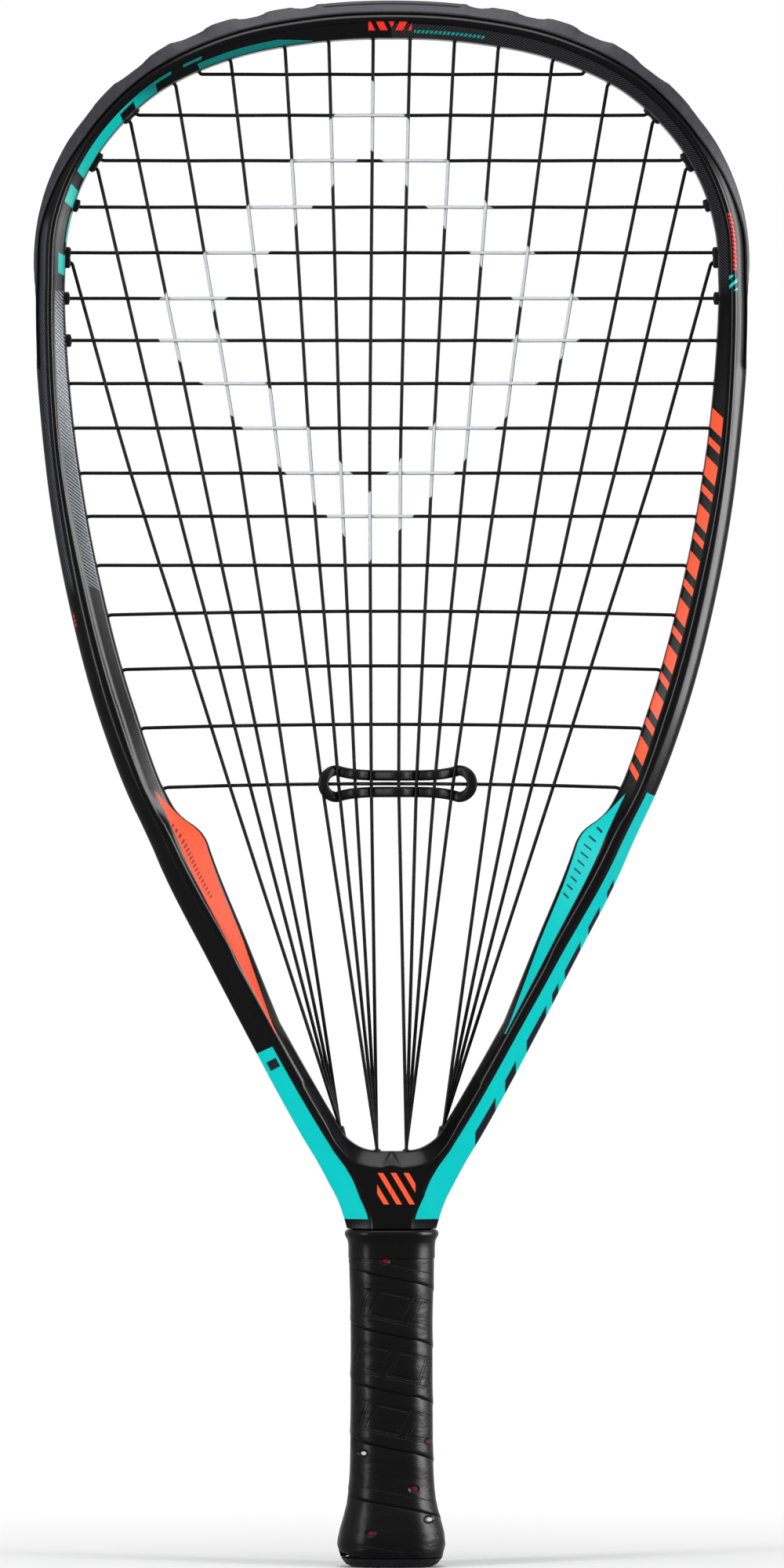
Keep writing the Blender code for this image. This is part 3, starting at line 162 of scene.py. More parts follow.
# The turns of a knot: distance from the hole and size
KNOT_TURNS = ((0.0016, 0.0010), (0.0028, 0.00115), (0.0040, 0.0010))
KNOT_SIDES = 16
TURN_REACH = 0.0009
GROOVE_PITCH = 0.004
OUTER_PORT_X = 0.0184
INNER_PORT_X = 0.0052
LANE_PITCH = 0.0023
PORT_PROUD = 0.0008
PORT_HALF_WIDTH = 0.00145
PORT_HALF_DEPTH = 0.00505
PORT_LENGTH = 0.0068
PORT_TURN_DROP = 0.0007
PORT_TURN_DEPTH = 0.0009
DAMPER_LEFT_REACH = -0.0005
DAMPER_RIGHT_REACH = 0.0068
DAMPER_END_RADIUS = 0.00475
DAMPER_WAIST = 0.00295
DAMPER_HALF_HEIGHT = 0.00190
DAMPER_HALF_DEPTH = 0.00115
DAMPER_WEAVE = 0.0019
DAMPER_END_LIFT = 0.0017
DAMPER_FIRST_MAIN = 4
DAMPER_MAINS = 8
DAMPER_ARC_STEPS = 20
DAMPER_RUN_STEPS = 60
# The handle: height and half width over the wrap
GRIP_ROWS = (
    (0.0000, 0.0176), (0.0030, 0.0181), (0.0060, 0.0190), (0.0092, 0.0193), (0.0140, 0.0184),
    (0.0204, 0.0165), (0.0260, 0.0156), (0.0320, 0.0151), (0.0450, 0.0148), (0.0900, 0.0147),
    (0.1000, 0.0150), (0.1080, 0.0152), (0.1160, 0.0151),
)
GRIP_FLATTENING = 0.0020
TAPE_THICKNESS = 0.0017
TAPE_PITCH = 0.0203
TAPE_GAP = 0.0009
TAPE_LOW = 0.0034
TAPE_HIGH = 0.1108
TAPE_START_WIDTH = 0.0020
TAPE_END_WIDTH = 0.0030
TAPE_START_SHARE = 0.52
TAPE_LAP = 0.0016
TAPE_TURN = 0.098
HANDLE_SIDES = 96
COLLAR_TAPE_HEIGHT = 0.1100
COLLAR_PALLET_HEIGHT = 0.1150
COLLAR_ROWS = (
    (0.1099, 0.0153), (0.1101, 0.0155), (0.1112, 0.0155), (0.1135, 0.0155), (0.1152, 0.0156),
    (0.1163, 0.0158), (0.1171, 0.0162), (0.1178, 0.0166), (0.1184, 0.0168), (0.1190, 0.0168),
    (0.1195, 0.0166), (0.1199, 0.0163), (0.1201, 0.0158),
)

FRAME_TIP = LENGTH - GUARD_THICKNESS
INNER_TIP = FRAME_TIP - RAIL_ROWS[-1][2]
CROSS_COUNT = len(CROSS_SHARES)
MAIN_COUNT = 2 * len(MAIN_MID_SHARES)
KEEL = CHANNEL_HALF - GAP
SEAT = GAP - CHANNEL_DEPTH
BED = SEAT + BASE_THICKNESS
STRING_LIFT = BED + STRING_RADIUS + 0.00005
DEEP = Vector((0.0, 1.0, 0.0))
SECTION_PITCH = 0.0018


def mix(low, high, share):
    return low + (high - low) * share


def clamp(value):
    return min(max(value, 0.0), 1.0)


def ease(value):
    value = clamp(value)
    return value * value * (3 - 2 * value)


def eased(rows, place):
    """The value at a place, eased between rows of place and value and held past their ends."""
    if place <= rows[0][0]:
        return rows[0][1]
    for (near, first), (far, second) in zip(rows, rows[1:]):
        if place <= far:
            return mix(first, second, ease((place - near) / (far - near)))
    return rows[-1][1]


def hermite(start, end, slope_in, slope_out, share):
    """Between two values or points, with the slopes at both taken over the whole span."""
    square, cube = share ** 2, share ** 3
    return (start * (2 * cube - 3 * square + 1) + slope_in * (cube - 2 * square + share)
            + end * (3 * square - 2 * cube) + slope_out * (cube - square))


def bend(start, corner, end, share):
    """A place on the curve that rounds off a corner."""
    return start * (1 - share) ** 2 + corner * (2 * share * (1 - share)) + end * share * share


class Curve:
    """A smooth curve through key points, with its tangents weighted by the chords."""

    def __init__(self, keys, before, after):
        self.keys = keys
        self.tangents = []
        ends = [before] + keys + [after]
        for last, here, following in zip(ends, ends[1:], ends[2:]):
            back = (here - last).length
            ahead = (following - here).length
            slope = (following - here) * (back / ahead) + (here - last) * (ahead / back)
            self.tangents.append(slope / (back + ahead))

    def at(self, span, share):
        start, end = self.keys[span], self.keys[span + 1]
        chord = (end - start).length
        return hermite(start, end, self.tangents[span] * chord, self.tangents[span + 1] * chord,
                       share)

    def normal(self, span, share):
        low, high = max(share - 0.001, 0.0), min(share + 0.001, 1.0)
        along = (self.at(span, high) - self.at(span, low)).normalized()
        return Vector((along.y, -along.x))


class Section:
    """A cut across the tube from a point on its outer edge to one on its inner edge."""

    def __init__(self, outer, inner, bevel, inner_bevel, depth, wall):
        self.outer, self.inner = outer, inner
        self.bevel, self.inner_bevel = bevel, inner_bevel
        self.depth, self.wall = depth, wall
        self.width = (inner - outer).length
        self.outer_half = min(OUTER_WALL_HALF, depth - 2 * RIDGE_DROP)
        self.drop = RIDGE_DROP
        self.corner = self.channel = self.run = 0.0
        self.rail = False
        self.height = (outer.y - THROAT_HEIGHT) / (FRAME_TIP - THROAT_HEIGHT)


def head_point(width_share, height_share):
    return Vector((width_share * FRAME_HALF, mix(THROAT_HEIGHT, FRAME_TIP, height_share)))


def soften(sections):
    """Round off the inner edge where the rail's width changes quickly, at the wings."""
    low, high = SOFTENED_SHARES
    for _ in range(2):
        widths = [section.width for section in sections]
        for k in range(1, len(sections) - 1):
            section = sections[k]
            if sections[k - 1].rail and low < section.height < high:
                change = (widths[k - 1] + widths[k + 1]) / 4 - widths[k] / 2
                section.inner += (section.inner - section.outer).normalized() * change
                section.width += change
                section.inner_bevel += change


def head_sections():
    """Sections of the right half, from the middle of the bridge round to the tip."""
    keys = [Vector((THROAT_HALF_WIDTH, THROAT_HEIGHT))]
    keys += [head_point(*row[:2]) for row in YOKE_ROWS[1:] + RAIL_ROWS]
    outer = Curve(keys, Vector((SHOULDER_HALF_WIDTH, SHOULDER_HEIGHT)),
                  Vector((-keys[-2].x, keys[-2].y)))
    spans = len(YOKE_ROWS)

    def rail_inner(span, share, width):
        return outer.at(span, share) - outer.normal(span, share) * width

    yoke_keys = [Vector((row[2], BRIDGE_HEIGHT + row[3])) for row in YOKE_ROWS]
    yoke_keys.append(rail_inner(spans, 0.0, RAIL_ROWS[0][2]))
    yoke = Curve(yoke_keys, Vector((-yoke_keys[1].x, yoke_keys[1].y)),
                 rail_inner(spans + 1, 0.0, RAIL_ROWS[1][2]))
    yoke_bevels = [row[4:] for row in YOKE_ROWS] + [(RAIL_ROWS[0][3], YOKE_ROWS[-1][5])]
    sections = []
    for span in range(len(keys) - 1):
        count = max(1, round((keys[span + 1] - keys[span]).length / SECTION_PITCH))
        last = span == len(keys) - 2
        for step in range(count + int(last)):
            share = step / count
            spot = outer.at(span, share)
            if span < spans:
                bevels = [mix(*pair, share) for pair in zip(*yoke_bevels[span:span + 2])]
                depth = mix(THROAT_HALF_DEPTH, BEAM_HALF_DEPTH, (span + share) / spans)
                sections.append(Section(spot, yoke.at(span, share), *bevels, depth,
                                        INNER_WALL_HALF))
                continue
            rows = RAIL_ROWS[span - spans:span - spans + 2]
            height, width, bevel = (mix(*pair, share) for pair in list(zip(*rows))[1:])
            thin = (ease((height - WING_LOW_SHARE + WING_RISE) / WING_RISE_SPAN)
                    * (1 - ease((height - WING_HIGH_SHARE + WING_FALL) / WING_FALL)))
            inner = rail_inner(span, share, width)
            if last and step == count:
                spot.x = inner.x = 0.0
            section = Section(spot, inner, bevel, width - bevel - RIDGE_WIDTH, BEAM_HALF_DEPTH,
                              mix(INNER_WALL_HALF, WING_EDGE_HALF, thin))
            section.rail = True
            sections.append(section)
    soften(sections)
    inner_run = 0.0
    for before, section in zip(sections, sections[1:]):
        section.run = before.run + (section.outer - before.outer).length
        inner_run += (section.inner - before.inner).length
        section.corner = min(INNER_CORNER, inner_run * CORNER_GROWTH)
    return sections


def index_where(axis, target, start, proud=0.0):
    """The place after a start where a line just inside the inner edge passes an x or a y."""
    def measure(section):
        return (section.inner + (section.inner - section.outer).normalized() * proud)[axis]

    for k in range(start, TIP_INDEX):
        low, high = measure(HEAD[k]), measure(HEAD[k + 1])
        if (low - target) * (high - target) <= 0 and low != high:
            return k + (target - low) / (high - low)
    return float(TIP_INDEX)


def index_below(index, distance, edge):
    """The place a distance back along the outer or inner edge, towards the throat."""
    low = int(index)
    above = HEAD[min(low + 1, TIP_INDEX)]
    here = getattr(HEAD[low], edge).lerp(getattr(above, edge), index - low)
    position, left = index, distance
    while low >= 0:
        start = getattr(HEAD[low], edge)
        length = (here - start).length
        if length >= left:
            return position - (position - low) * left / length
        left -= length
        here, position = start, low
        low -= 1
    return 0.0


def cross_level(cross):
    return INNER_TIP - CROSS_SHARES[cross] * (INNER_TIP - BRIDGE_HEIGHT)


def cross_stub(cross, side):
    """How far a cross string's barrel stands proud of the inner edge on one side."""
    if cross == 1:
        return SHOULDER_STUB
    return SIDE_STUB if 1 < cross <= LAST_PROUD_CROSS[side] else FLUSH_STUB


HEAD = head_sections()
TIP_INDEX = len(HEAD) - 1
FIRST_RAIL = next(k for k, section in enumerate(HEAD) if section.rail)
WIDEST = max(range(len(HEAD)), key=lambda k: HEAD[k].inner.x)
CROSS_INDEX = [index_where(1, cross_level(cross), FIRST_RAIL, cross_stub(cross, -1) + EXIT_ROOM)
               for cross in range(CROSS_COUNT)]
MAIN_INDEX = [0.0] * len(SHARED_HOLES)
MAIN_INDEX += [index_where(0, share * FRAME_HALF, WIDEST) for share in MAIN_HOLE_SHARES]
for cross, main in SHARED_HOLES:
    MAIN_INDEX[main] = index_below(CROSS_INDEX[cross], PAIR_PITCH, "inner")
CHANNEL_START = index_below(CROSS_INDEX[-1], STRIP_MARGIN + 2 * GAP, "outer")
STRIP_START = index_below(CROSS_INDEX[-1], STRIP_MARGIN, "outer")
GUARD_START = index_below(CROSS_INDEX[GUARDED_CROSSES - 1], GUARD_MARGIN, "outer")
STRIP_END = index_below(GUARD_START, GAP * 2, "outer")
for section in HEAD:
    section.channel = clamp((section.run - HEAD[int(CHANNEL_START)].run) / CHANNEL_RAMP)


class Spot:
    """A place on the head's right half, mirrored to the left by its side of -1."""

    def __init__(self, index, side):
        self.index, self.side = index, side
        low = min(int(index), TIP_INDEX - 1)
        share = index - low
        outer = HEAD[low].outer.lerp(HEAD[low + 1].outer, share)
        inner = HEAD[low].inner.lerp(HEAD[low + 1].inner, share)
        self.outer = Vector((outer.x * side, 0.0, outer.y))
        self.inner = Vector((inner.x * side, 0.0, inner.y))
        self.outward = (self.outer - self.inner).normalized()
        self.along = Vector((-self.outward.z, 0.0, self.outward.x))
        self.bevel = mix(HEAD[low].bevel, HEAD[low + 1].bevel, share)
        self.run = mix(HEAD[low].run, HEAD[low + 1].run, share)

    def from_outer(self, lift, depth=0.0, shift=0.0):
        spot = self.outer + self.outward * lift + self.along * shift
        return Vector((spot.x, depth, spot.z))

    def from_inner(self, proud, depth=0.0, shift=0.0):
        spot = self.inner - self.outward * proud + self.along * shift
        return Vector((spot.x, depth, spot.z))


def main_side(main):
    """The half that a main string is on, and its number there from the rail."""
    return (-1, main) if main < MAIN_COUNT // 2 else (1, MAIN_COUNT - 1 - main)


def main_spot(main):
    side, number = main_side(main)
    return Spot(MAIN_INDEX[number], side)


def cross_spot(cross, side):
    return Spot(CROSS_INDEX[cross], side)


def half_opening(height):
    return Spot(index_where(1, height, FIRST_RAIL), 1).inner.x


# Mesh making


def skin(name, rings, fields=(), closed=False, sharp=40.0, keep=None):
    """A mesh over equal rings of points. With fields, a point has a number for each of them."""
    count, rows = len(rings[0]), len(rings)
    verts = [item[0] if fields else item for ring in rings for item in ring]
    faces = []
    for k in range(rows if closed else rows - 1):
        low, high = k * count, (k + 1) % rows * count
        for n in range(count):
            m = (n + 1) % count
            face = (low + n, low + m, high + m, high + n)
            if keep is None or keep([verts[v] for v in face]):
                faces.append(face)
    if not closed:
        faces.append(tuple(range(count)))
        if keep is None:
            faces.append(tuple(reversed(range((rows - 1) * count, rows * count))))
    mesh = bpy.data.meshes.new(name)
    mesh.from_pydata(verts, [], faces)
    for n, field in enumerate(fields):
        layer = mesh.attributes.new(field, 'FLOAT', 'POINT')
        layer.data.foreach_set("value", [item[n + 1] for ring in rings for item in ring])
    return tidy(mesh, sharp)


def tidy(mesh, sharp):
    bm = bmesh.new()
    bm.from_mesh(mesh)
    bmesh.ops.remove_doubles(bm, verts=bm.verts, dist=0.000002)
    bmesh.ops.dissolve_degenerate(bm, edges=bm.edges, dist=0.000001)
    bmesh.ops.recalc_face_normals(bm, faces=bm.faces)
    bm.to_mesh(mesh)
    bm.free()
    mesh.shade_smooth()
    mesh.set_sharp_from_angle(angle=radians(sharp))
    return mesh


def joined(name, meshes, sharp=40.0):
    bm = bmesh.new()
    for mesh in meshes:
        bm.from_mesh(mesh)
        bpy.data.meshes.remove(mesh)
    mesh = bpy.data.meshes.new(name)
    bm.to_mesh(mesh)
    bm.free()
    return tidy(mesh, sharp)


def add_object(name, data):
    item = bpy.data.objects.new(name, data)
    bpy.context.scene.collection.objects.link(item)
    return item


def add_piece(name, mesh, material, node):
    piece = add_object(name, mesh)
    mesh.materials.append(material)
    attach(piece, "root")
    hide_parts(node)


def rounded(keys):
    """Points through keys of place, corner reach and steps, their other numbers mixed along."""
    keys = [(Vector(place), reach, steps) for place, reach, steps in keys]
    points = []
    for k, (here, reach, steps) in enumerate(keys):
        if not steps:
            points.append(here)
            continue
        ends = []
        for other in (keys[k - 1][0], keys[(k + 1) % len(keys)][0]):
            length = hypot(other.x - here.x, other.y - here.y)
            ends.append(here.lerp(other, min(0.48, reach / length) if length > 1e-9 else 0.0))
        points += [bend(ends[0], here, ends[1], n / steps) for n in range(steps + 1)]
    return points


def mirrored(half):
    """The whole outline from its half: each point with its depth on its own side."""
    return [(point, -point.y) for point in half] + [(point, point.y) for point in half[-2:0:-1]]


def pressed_circle(sides, across=1.0, up=1.0):
    """Points of a unit circle, pressed squarer where the powers are below 1."""
    points = []
    for n in range(sides):
        c, s = cos(2 * pi * n / sides), sin(2 * pi * n / sides)
        points.append((copysign(abs(c) ** across, c), copysign(abs(s) ** up, s)))
    return points


def slab(name, levels, half_width, half_depth, outline, place):
    """A block with rounded ends, from levels of height and inset."""
    return skin(name, [[place(height, (half_width - inset) * a, (half_depth - inset) * b)
                        for a, b in outline] for height, inset in levels])


def lathe(rows, centre, axis, across, sides):
    """A turned ring through rows of radius and height, closed on itself like a washer."""
    rings = []
    for n in range(sides):
        angle = 2 * pi * n / sides
        rim = across * cos(angle) + DEEP * sin(angle)
        rings.append([centre + rim * radius + axis * height for radius, height in rows])
    return skin("ring", rings, closed=True)


# The moulding


def frame_profile(section):
    """Half of the tube's outline, as distance from the outer edge, depth and band number."""
    start, end = section.bevel, section.width - section.inner_bevel
    end -= TIP_RIDGE_GAIN * ease((section.height - 0.52) / 0.15)
    floor = CHANNEL_DEPTH * section.channel
    top, drop = section.depth, section.drop
    spread, below = 0.0, 1.0
    if section.rail:
        spread = min(RIDGE_SPREAD, max(0.0, section.inner_bevel - 0.0050))
        below = HEAD[int(GUARD_START)].run - section.run + 0.0012
    slope = (top - drop - section.wall) / max(section.width - end, 0.0001)
    crown, half = (start + end + spread) / 2, (end + spread - start) / 2
    flat = max(0.0006, half - 0.0016)
    crest = top + CROWN_SWELL * clamp((0.0045 - half) / 0.001)
    out = -WALL_SWELL * ease(below / 0.0004) * (1.0 - clamp(below / WALL_SWELL_RUN)) ** 1.5
    bulge = BEVEL_BULGE * ease((section.height - 0.02) / 0.2) * mix(0.8, 1.0, ease(below / 0.004))
    foot, brow = Vector((out, section.outer_half)), Vector((start, top - RIDGE_DROP))
    middle = foot.lerp(brow, 0.5) + (brow - foot).normalized().orthogonal() * bulge
    return rounded([
        ((floor, 0.0, 0.0), 0.0, 0),
        ((floor, CHANNEL_HALF - 0.0002, 0.2), 0.0003, 1),
        ((out, CHANNEL_HALF, 0.4), 0.0003, 2),
        ((out, section.outer_half, 1.0), 0.0010, 5),
        ((*middle, 1.5), 0.0018, 5),
        ((*brow, 2.0), 0.0011, 5),
        ((crown - flat, crest, 2.4), 0.0030, 9),
        ((crown + flat, crest, 2.6), 0.0030, 9),
        ((end + spread, top - drop - slope * spread, 3.0), 0.0010, 4),
        ((section.width, section.wall, 4.0), section.corner, 6),
        ((section.width, 0.0, 5.0), 0.0, 0),
    ])


def throat_sections():
    """Sections from the open end of the shaft to the middle of the bridge, cut by the web."""
    sections = []
    for height, half_width, half_depth in SHAFT_ROWS + (
            (SHOULDER_HEIGHT, SHOULDER_HALF_WIDTH, THROAT_HALF_DEPTH),):
        section = Section(Vector((half_width, height)), Vector((0.0, height)), half_width * 0.5,
                          0.0, half_depth, half_depth)
        section.drop = 0.0
        sections.append(section)
    bevel, inner_bevel = YOKE_ROWS[0][4:]
    reach = inner_bevel * WEB_FALL_SHARE
    flat = BRIDGE_HEIGHT - reach
    heights = [mix(SHOULDER_HEIGHT, flat, k / WEB_STEPS) for k in range(1, WEB_STEPS + 1)]
    heights += [mix(flat, BRIDGE_HEIGHT, k / BRIDGE_STEPS) for k in range(1, BRIDGE_STEPS)]
    for height in heights:
        share = (height - SHOULDER_HEIGHT) / (BRIDGE_HEIGHT - SHOULDER_HEIGHT)
        fall = clamp((height - flat) / reach)
        outer = Vector((mix(SHOULDER_HALF_WIDTH, THROAT_HALF_WIDTH, share),
                        mix(SHOULDER_HEIGHT, THROAT_HEIGHT, share)))
        section = Section(outer, Vector((0.0, height)), mix(SHOULDER_BEVEL, bevel, share),
                          inner_bevel * fall, THROAT_HALF_DEPTH,
                          mix(THROAT_HALF_DEPTH, INNER_WALL_HALF, fall))
        section.drop = RIDGE_DROP * fall
        sections.append(section)
    return sections


def make_frame():
    meshes = []
    for side in (1, -1):
        rings = []
        for section in throat_sections() + HEAD:
            axis = (section.inner - section.outer).normalized()
            ring = []
            for point, depth in mirrored(frame_profile(section)):
                spot = section.outer + axis * point.x
                ring.append((Vector((spot.x * side, depth, spot.y)), point.z, section.run, point.x,
                             section.width - point.x))
            rings.append(ring)
        meshes.append(skin("half", rings, ("band", "run", "from_outer", "from_inner"), sharp=35.0,
                           keep=lambda corners: any(abs(p.x) > 1e-6 for p in corners)))
    return joined("frame_mesh", meshes, 35.0)


# Guard, grommet strips and barrels


def guard_profile(spot):
    distance = HEAD[-1].run - spot.run
    top = eased(GUARD_ROWS, distance * 1000) / 1000
    cover = mix(LIP_COVER, LIP_END_COVER, clamp((distance - LIP_REACH) / LIP_FADE))
    edge = Vector((0.0, OUTER_WALL_HALF))
    down = Vector((-spot.bevel, BEAM_HALF_DEPTH - RIDGE_DROP)) - edge
    away = Vector((down.y, -down.x)).normalized()
    lip_inner = edge + down * cover + away * GAP
    lip_outer = lip_inner + away * LIP_THICKNESS
    side = Vector((top, GUARD_SIDE_HALF))
    sunk = away * (-PANEL_DEPTH * ease((PANEL_HALF - abs(spot.outer.x)) / 0.0008))
    return rounded([
        ((BED, 0.0), 0.0, 0), ((BED, GROOVE_HALF), 0.0003, 2),
        ((top, GROOVE_HALF), 0.0004, 3), (side, 0.0013, 6),
        (side.lerp(lip_outer, 0.24), 0.0, 0), (side.lerp(lip_outer, 0.27) + sunk, 0.0, 0),
        (side.lerp(lip_outer, 0.60) + sunk, 0.0, 0), (side.lerp(lip_outer, 0.63), 0.0, 0),
        (lip_outer, 0.0003, 3), (lip_inner, 0.0001, 1),
        ((GAP, OUTER_WALL_HALF + GAP / 2), 0.0, 0), ((GAP, KEEL), 0.0, 0),
        ((SEAT, KEEL), 0.0, 0), ((SEAT, 0.0), 0.0, 0),
    ])


def strip_profile(spot):
    return rounded([((BED, 0.0), 0.0, 0), ((BED, KEEL), 0.0003, 2), ((SEAT, KEEL), 0.0, 0),
                    ((SEAT, 0.0), 0.0, 0)])


def sweep(name, spots, profile_at, sharp=40.0):
    """A profile along spots, with each point's distance round the moulding."""
    rings = [[(spot.from_outer(point.x, depth), spot.run) for point, depth in mirrored(profile_at(spot))]
             for spot in spots]
    return skin(name, rings, ("run",), sharp=sharp)


def spots_between(low, high, side, pitch):
    """Spots at an even pitch from one index to a higher one on one half."""
    start, end = Spot(low, side), Spot(high, side)
    count = max(2, round((end.run - start.run) / pitch))
    places, k = [], int(low)
    for n in range(count + 1):
        run = mix(start.run, end.run, n / count)
        while k < TIP_INDEX - 1 and HEAD[k + 1].run < run:
            k += 1
        places.append(Spot(k + (run - HEAD[k].run) / (HEAD[k + 1].run - HEAD[k].run), side))
    return places


def barrel(spot, lane, proud):
    """One grommet barrel's end round its bore, standing proud of the inner wall."""
    rows = [(BORE_HALF, -BARREL_SUNK), (BARREL_HALF, -BARREL_SUNK), (BARREL_HALF, proud - 0.0003),
            (BARREL_HALF - 0.0001, proud - 0.0001), (BARREL_HALF - 0.0003, proud),
            (BORE_HALF + 0.00015, proud), (BORE_HALF, proud - 0.0002)]
    return lathe(rows, spot.from_inner(0.0, lane), -spot.outward, spot.along, 24)


def boss(spots, proud):
    """The block of a side grommet, a rounded slab on the inner wall round its barrels."""
    first = spots[0]
    shifts = [(spot.from_inner(0.0) - first.from_inner(0.0)).dot(first.along) for spot in spots]
    end = BOSS_END if len(spots) > 1 else BOSS_HALF_LENGTH
    low, high = min(shifts) - end, max(shifts) + end
    levels = ((-0.0012, 0.0), (proud - 0.0005, 0.0), (proud - 0.00015, 0.00015), (proud, 0.0005))
    return slab("boss", levels, (high - low) / 2, BOSS_HALF_DEPTH, pressed_circle(32, 0.42, 0.42),
                lambda height, x, y: first.from_inner(height, y, (low + high) / 2 + x))


def grommets(groups):
    meshes = []
    for spots, lanes, proud in groups:
        height = proud + 0.0002 if proud > FLUSH_STUB else 0.0001
        meshes += [barrel(spot, lane, height) for spot, lane in zip(spots, lanes)]
        if proud > FLUSH_STUB:
            meshes.append(boss(spots, proud))
    return meshes


def hole_groups():
    """Holes of each carrier, with their lanes and how far the barrels stand proud."""
    paired = dict(SHARED_HOLES)
    groups = {"guard": [], -1: [], 1: []}
    for side in (-1, 1):
        for cross in range(CROSS_COUNT):
            spots, lanes = [cross_spot(cross, side)], [-LANE_OFFSET]
            if cross in paired:
                main = paired[cross] if side < 0 else MAIN_COUNT - 1 - paired[cross]
                spots.append(main_spot(main))
                lanes.append(LANE_OFFSET)
            carrier = "guard" if cross < GUARDED_CROSSES else side
            groups[carrier].append((spots, lanes, cross_stub(cross, side)))
    for main in range(len(SHARED_HOLES), MAIN_COUNT - len(SHARED_HOLES)):
        groups["guard"].append(([main_spot(main)], [LANE_OFFSET], FLUSH_STUB))
    return groups


def make_guard(groups):
    left, right = (spots_between(GUARD_START, TIP_INDEX, side, 0.0008) for side in (-1, 1))
    guard = sweep("guard", left + right[-2::-1], guard_profile, 38.0)
    return joined("guard_mesh", [guard] + grommets(groups), 38.0)


def make_strip(side, groups):
    strip = sweep("strip", spots_between(STRIP_START, STRIP_END, side, 0.0025), strip_profile)
    return joined("strip_mesh", [strip] + grommets(groups))


# Strings and the bushings of their ports


def drifted(offset):
    """The bed's middle lies a little to the left of the frame's."""
    return offset - BED_DRIFT * max(0.0, 1.0 - abs(offset) / DRIFT_FADE)


MID_HEIGHT = INNER_TIP - MID_SHARE * (INNER_TIP - BRIDGE_HEIGHT)
LOW_HEIGHT = cross_level(-1)
PORT_BUNCH = MAIN_COUNT // 4
HALF_OPENINGS = {height: half_opening(height) for height in (MID_HEIGHT, LOW_HEIGHT)}


def bed_point(main, shares, height):
    side, number = main_side(main)
    return Vector((drifted(side * shares[number] * HALF_OPENINGS[height]), 0.0, height))


def port_spot(bunch):
    side = -1 if bunch < 2 else 1
    offset = INNER_PORT_X if bunch in (1, 2) else OUTER_PORT_X
    return Spot(index_where(0, offset, 0), side).inner


def port_axis(bunch):
    middle = Vector()
    for main in range(bunch * PORT_BUNCH, (bunch + 1) * PORT_BUNCH):
        middle += bed_point(main, MAIN_LOW_SHARES, LOW_HEIGHT) / PORT_BUNCH
    return (middle - port_spot(bunch)).normalized()


def port_lane(number):
    """How deep a string lies in its port, from the first of a bunch to the last."""
    return DEEP * ((number - (PORT_BUNCH - 1) / 2) * LANE_PITCH)


def make_bushing(bunch):
    """A port's bushing: a rounded slab flush with the yoke and a rim round each bore."""
    port, axis = port_spot(bunch), port_axis(bunch)
    side = axis.cross(DEEP)
    levels = ((-PORT_LENGTH, 0.0003), (0.0003 - PORT_LENGTH, 0.0), (-0.0001, 0.0), (0.0001, 0.0001),
              (0.0002, 0.0003))
    meshes = [slab("slab", levels, PORT_HALF_WIDTH, PORT_HALF_DEPTH, pressed_circle(40, 0.6, 0.4),
                   lambda height, x, y: port + axis * height + side * x + DEEP * y)]
    rows = [(BORE_HALF - 0.0002, -0.0010), (BORE_HALF + 0.0002, -0.0010),
            (BORE_HALF + 0.0002, 0.0003), (BORE_HALF, 0.0004), (BORE_HALF - 0.0002, 0.0003)]
    meshes += [lathe(rows, port + port_lane(n), axis, side, 20) for n in range(PORT_BUNCH)]
    return joined("bushing_mesh", meshes)


def main_crosses(main, cross):
    return cross_level(cross) < main_spot(main).inner.z - 0.002


def main_exit(main):
    """Where a main string leaves its hole in the head."""
    side, number = main_side(main)
    paired = {pair: cross for cross, pair in SHARED_HOLES}
    stub = cross_stub(paired[number], side) if number in paired else FLUSH_STUB
    return main_spot(main).from_inner(stub + EXIT_ROOM, LANE_OFFSET)


def main_x(main, height):
    hole = main_exit(main)
    mid = bed_point(main, MAIN_MID_SHARES, MID_HEIGHT)
    low = bed_point(main, MAIN_LOW_SHARES, LOW_HEIGHT)
    above, below = (hole, mid) if height > mid.z else (mid, low)
    return mix(below.x, above.x, (height - below.z) / (above.z - below.z))


def cross_height(cross, offset):
    height = cross_level(cross)
    if cross < CROSS_COUNT - BOWED_CROSSES:
        return height
    return height + CROSS_BOW * (1.0 - (offset / half_opening(height)) ** 2)


# Every crossing: its place across, its height, and 1 where the cross string passes behind
CROSSINGS = {}
for main in range(MAIN_COUNT):
    for cross in range(CROSS_COUNT):
        if main_crosses(main, cross):
            beside = main_side(main)[1] < len(SHARED_HOLES) and not main_crosses(main, cross - 1)
            over = 1 if (main + cross) % 2 and not beside else -1
            offset = main_x(main, cross_level(cross))
            CROSSINGS[main, cross] = (offset, cross_height(cross, offset), over)


def passes(pairs, weave):
    """Where a string passes the strings that it crosses."""
    return [Vector((CROSSINGS[pair][0], CROSSINGS[pair][2] * weave, CROSSINGS[pair][1]))
            for pair in pairs if pair in CROSSINGS]


def woven(keys):
    """Points between keys, straight in the plane of the bed and eased through its depth."""
    points = []
    for here, after in zip(keys, keys[1:]):
        for t in (n / WEAVE_STEPS for n in range(WEAVE_STEPS)):
            points.append(Vector((mix(here.x, after.x, t), mix(here.y, after.y, ease(t)),
                                  mix(here.z, after.z, t))))
    return points + [keys[-1]]


def in_groove(spot, lane, shift=0.0):
    return spot.from_outer(STRING_LIFT, lane, shift)


def groove_run(start, end, lane):
    """Points in the outer groove between two holes."""
    if start.side == end.side:
        low, high = sorted((start.index, end.index))
        between = spots_between(low, high, start.side, GROOVE_PITCH)[1:-1]
        if start.index > end.index:
            between.reverse()
    else:
        rise, fall = (spots_between(spot.index, TIP_INDEX, spot.side, GROOVE_PITCH)
                      for spot in (start, end))
        between = rise[1:] + fall[-2:0:-1]
    return [in_groove(spot, lane) for spot in between]


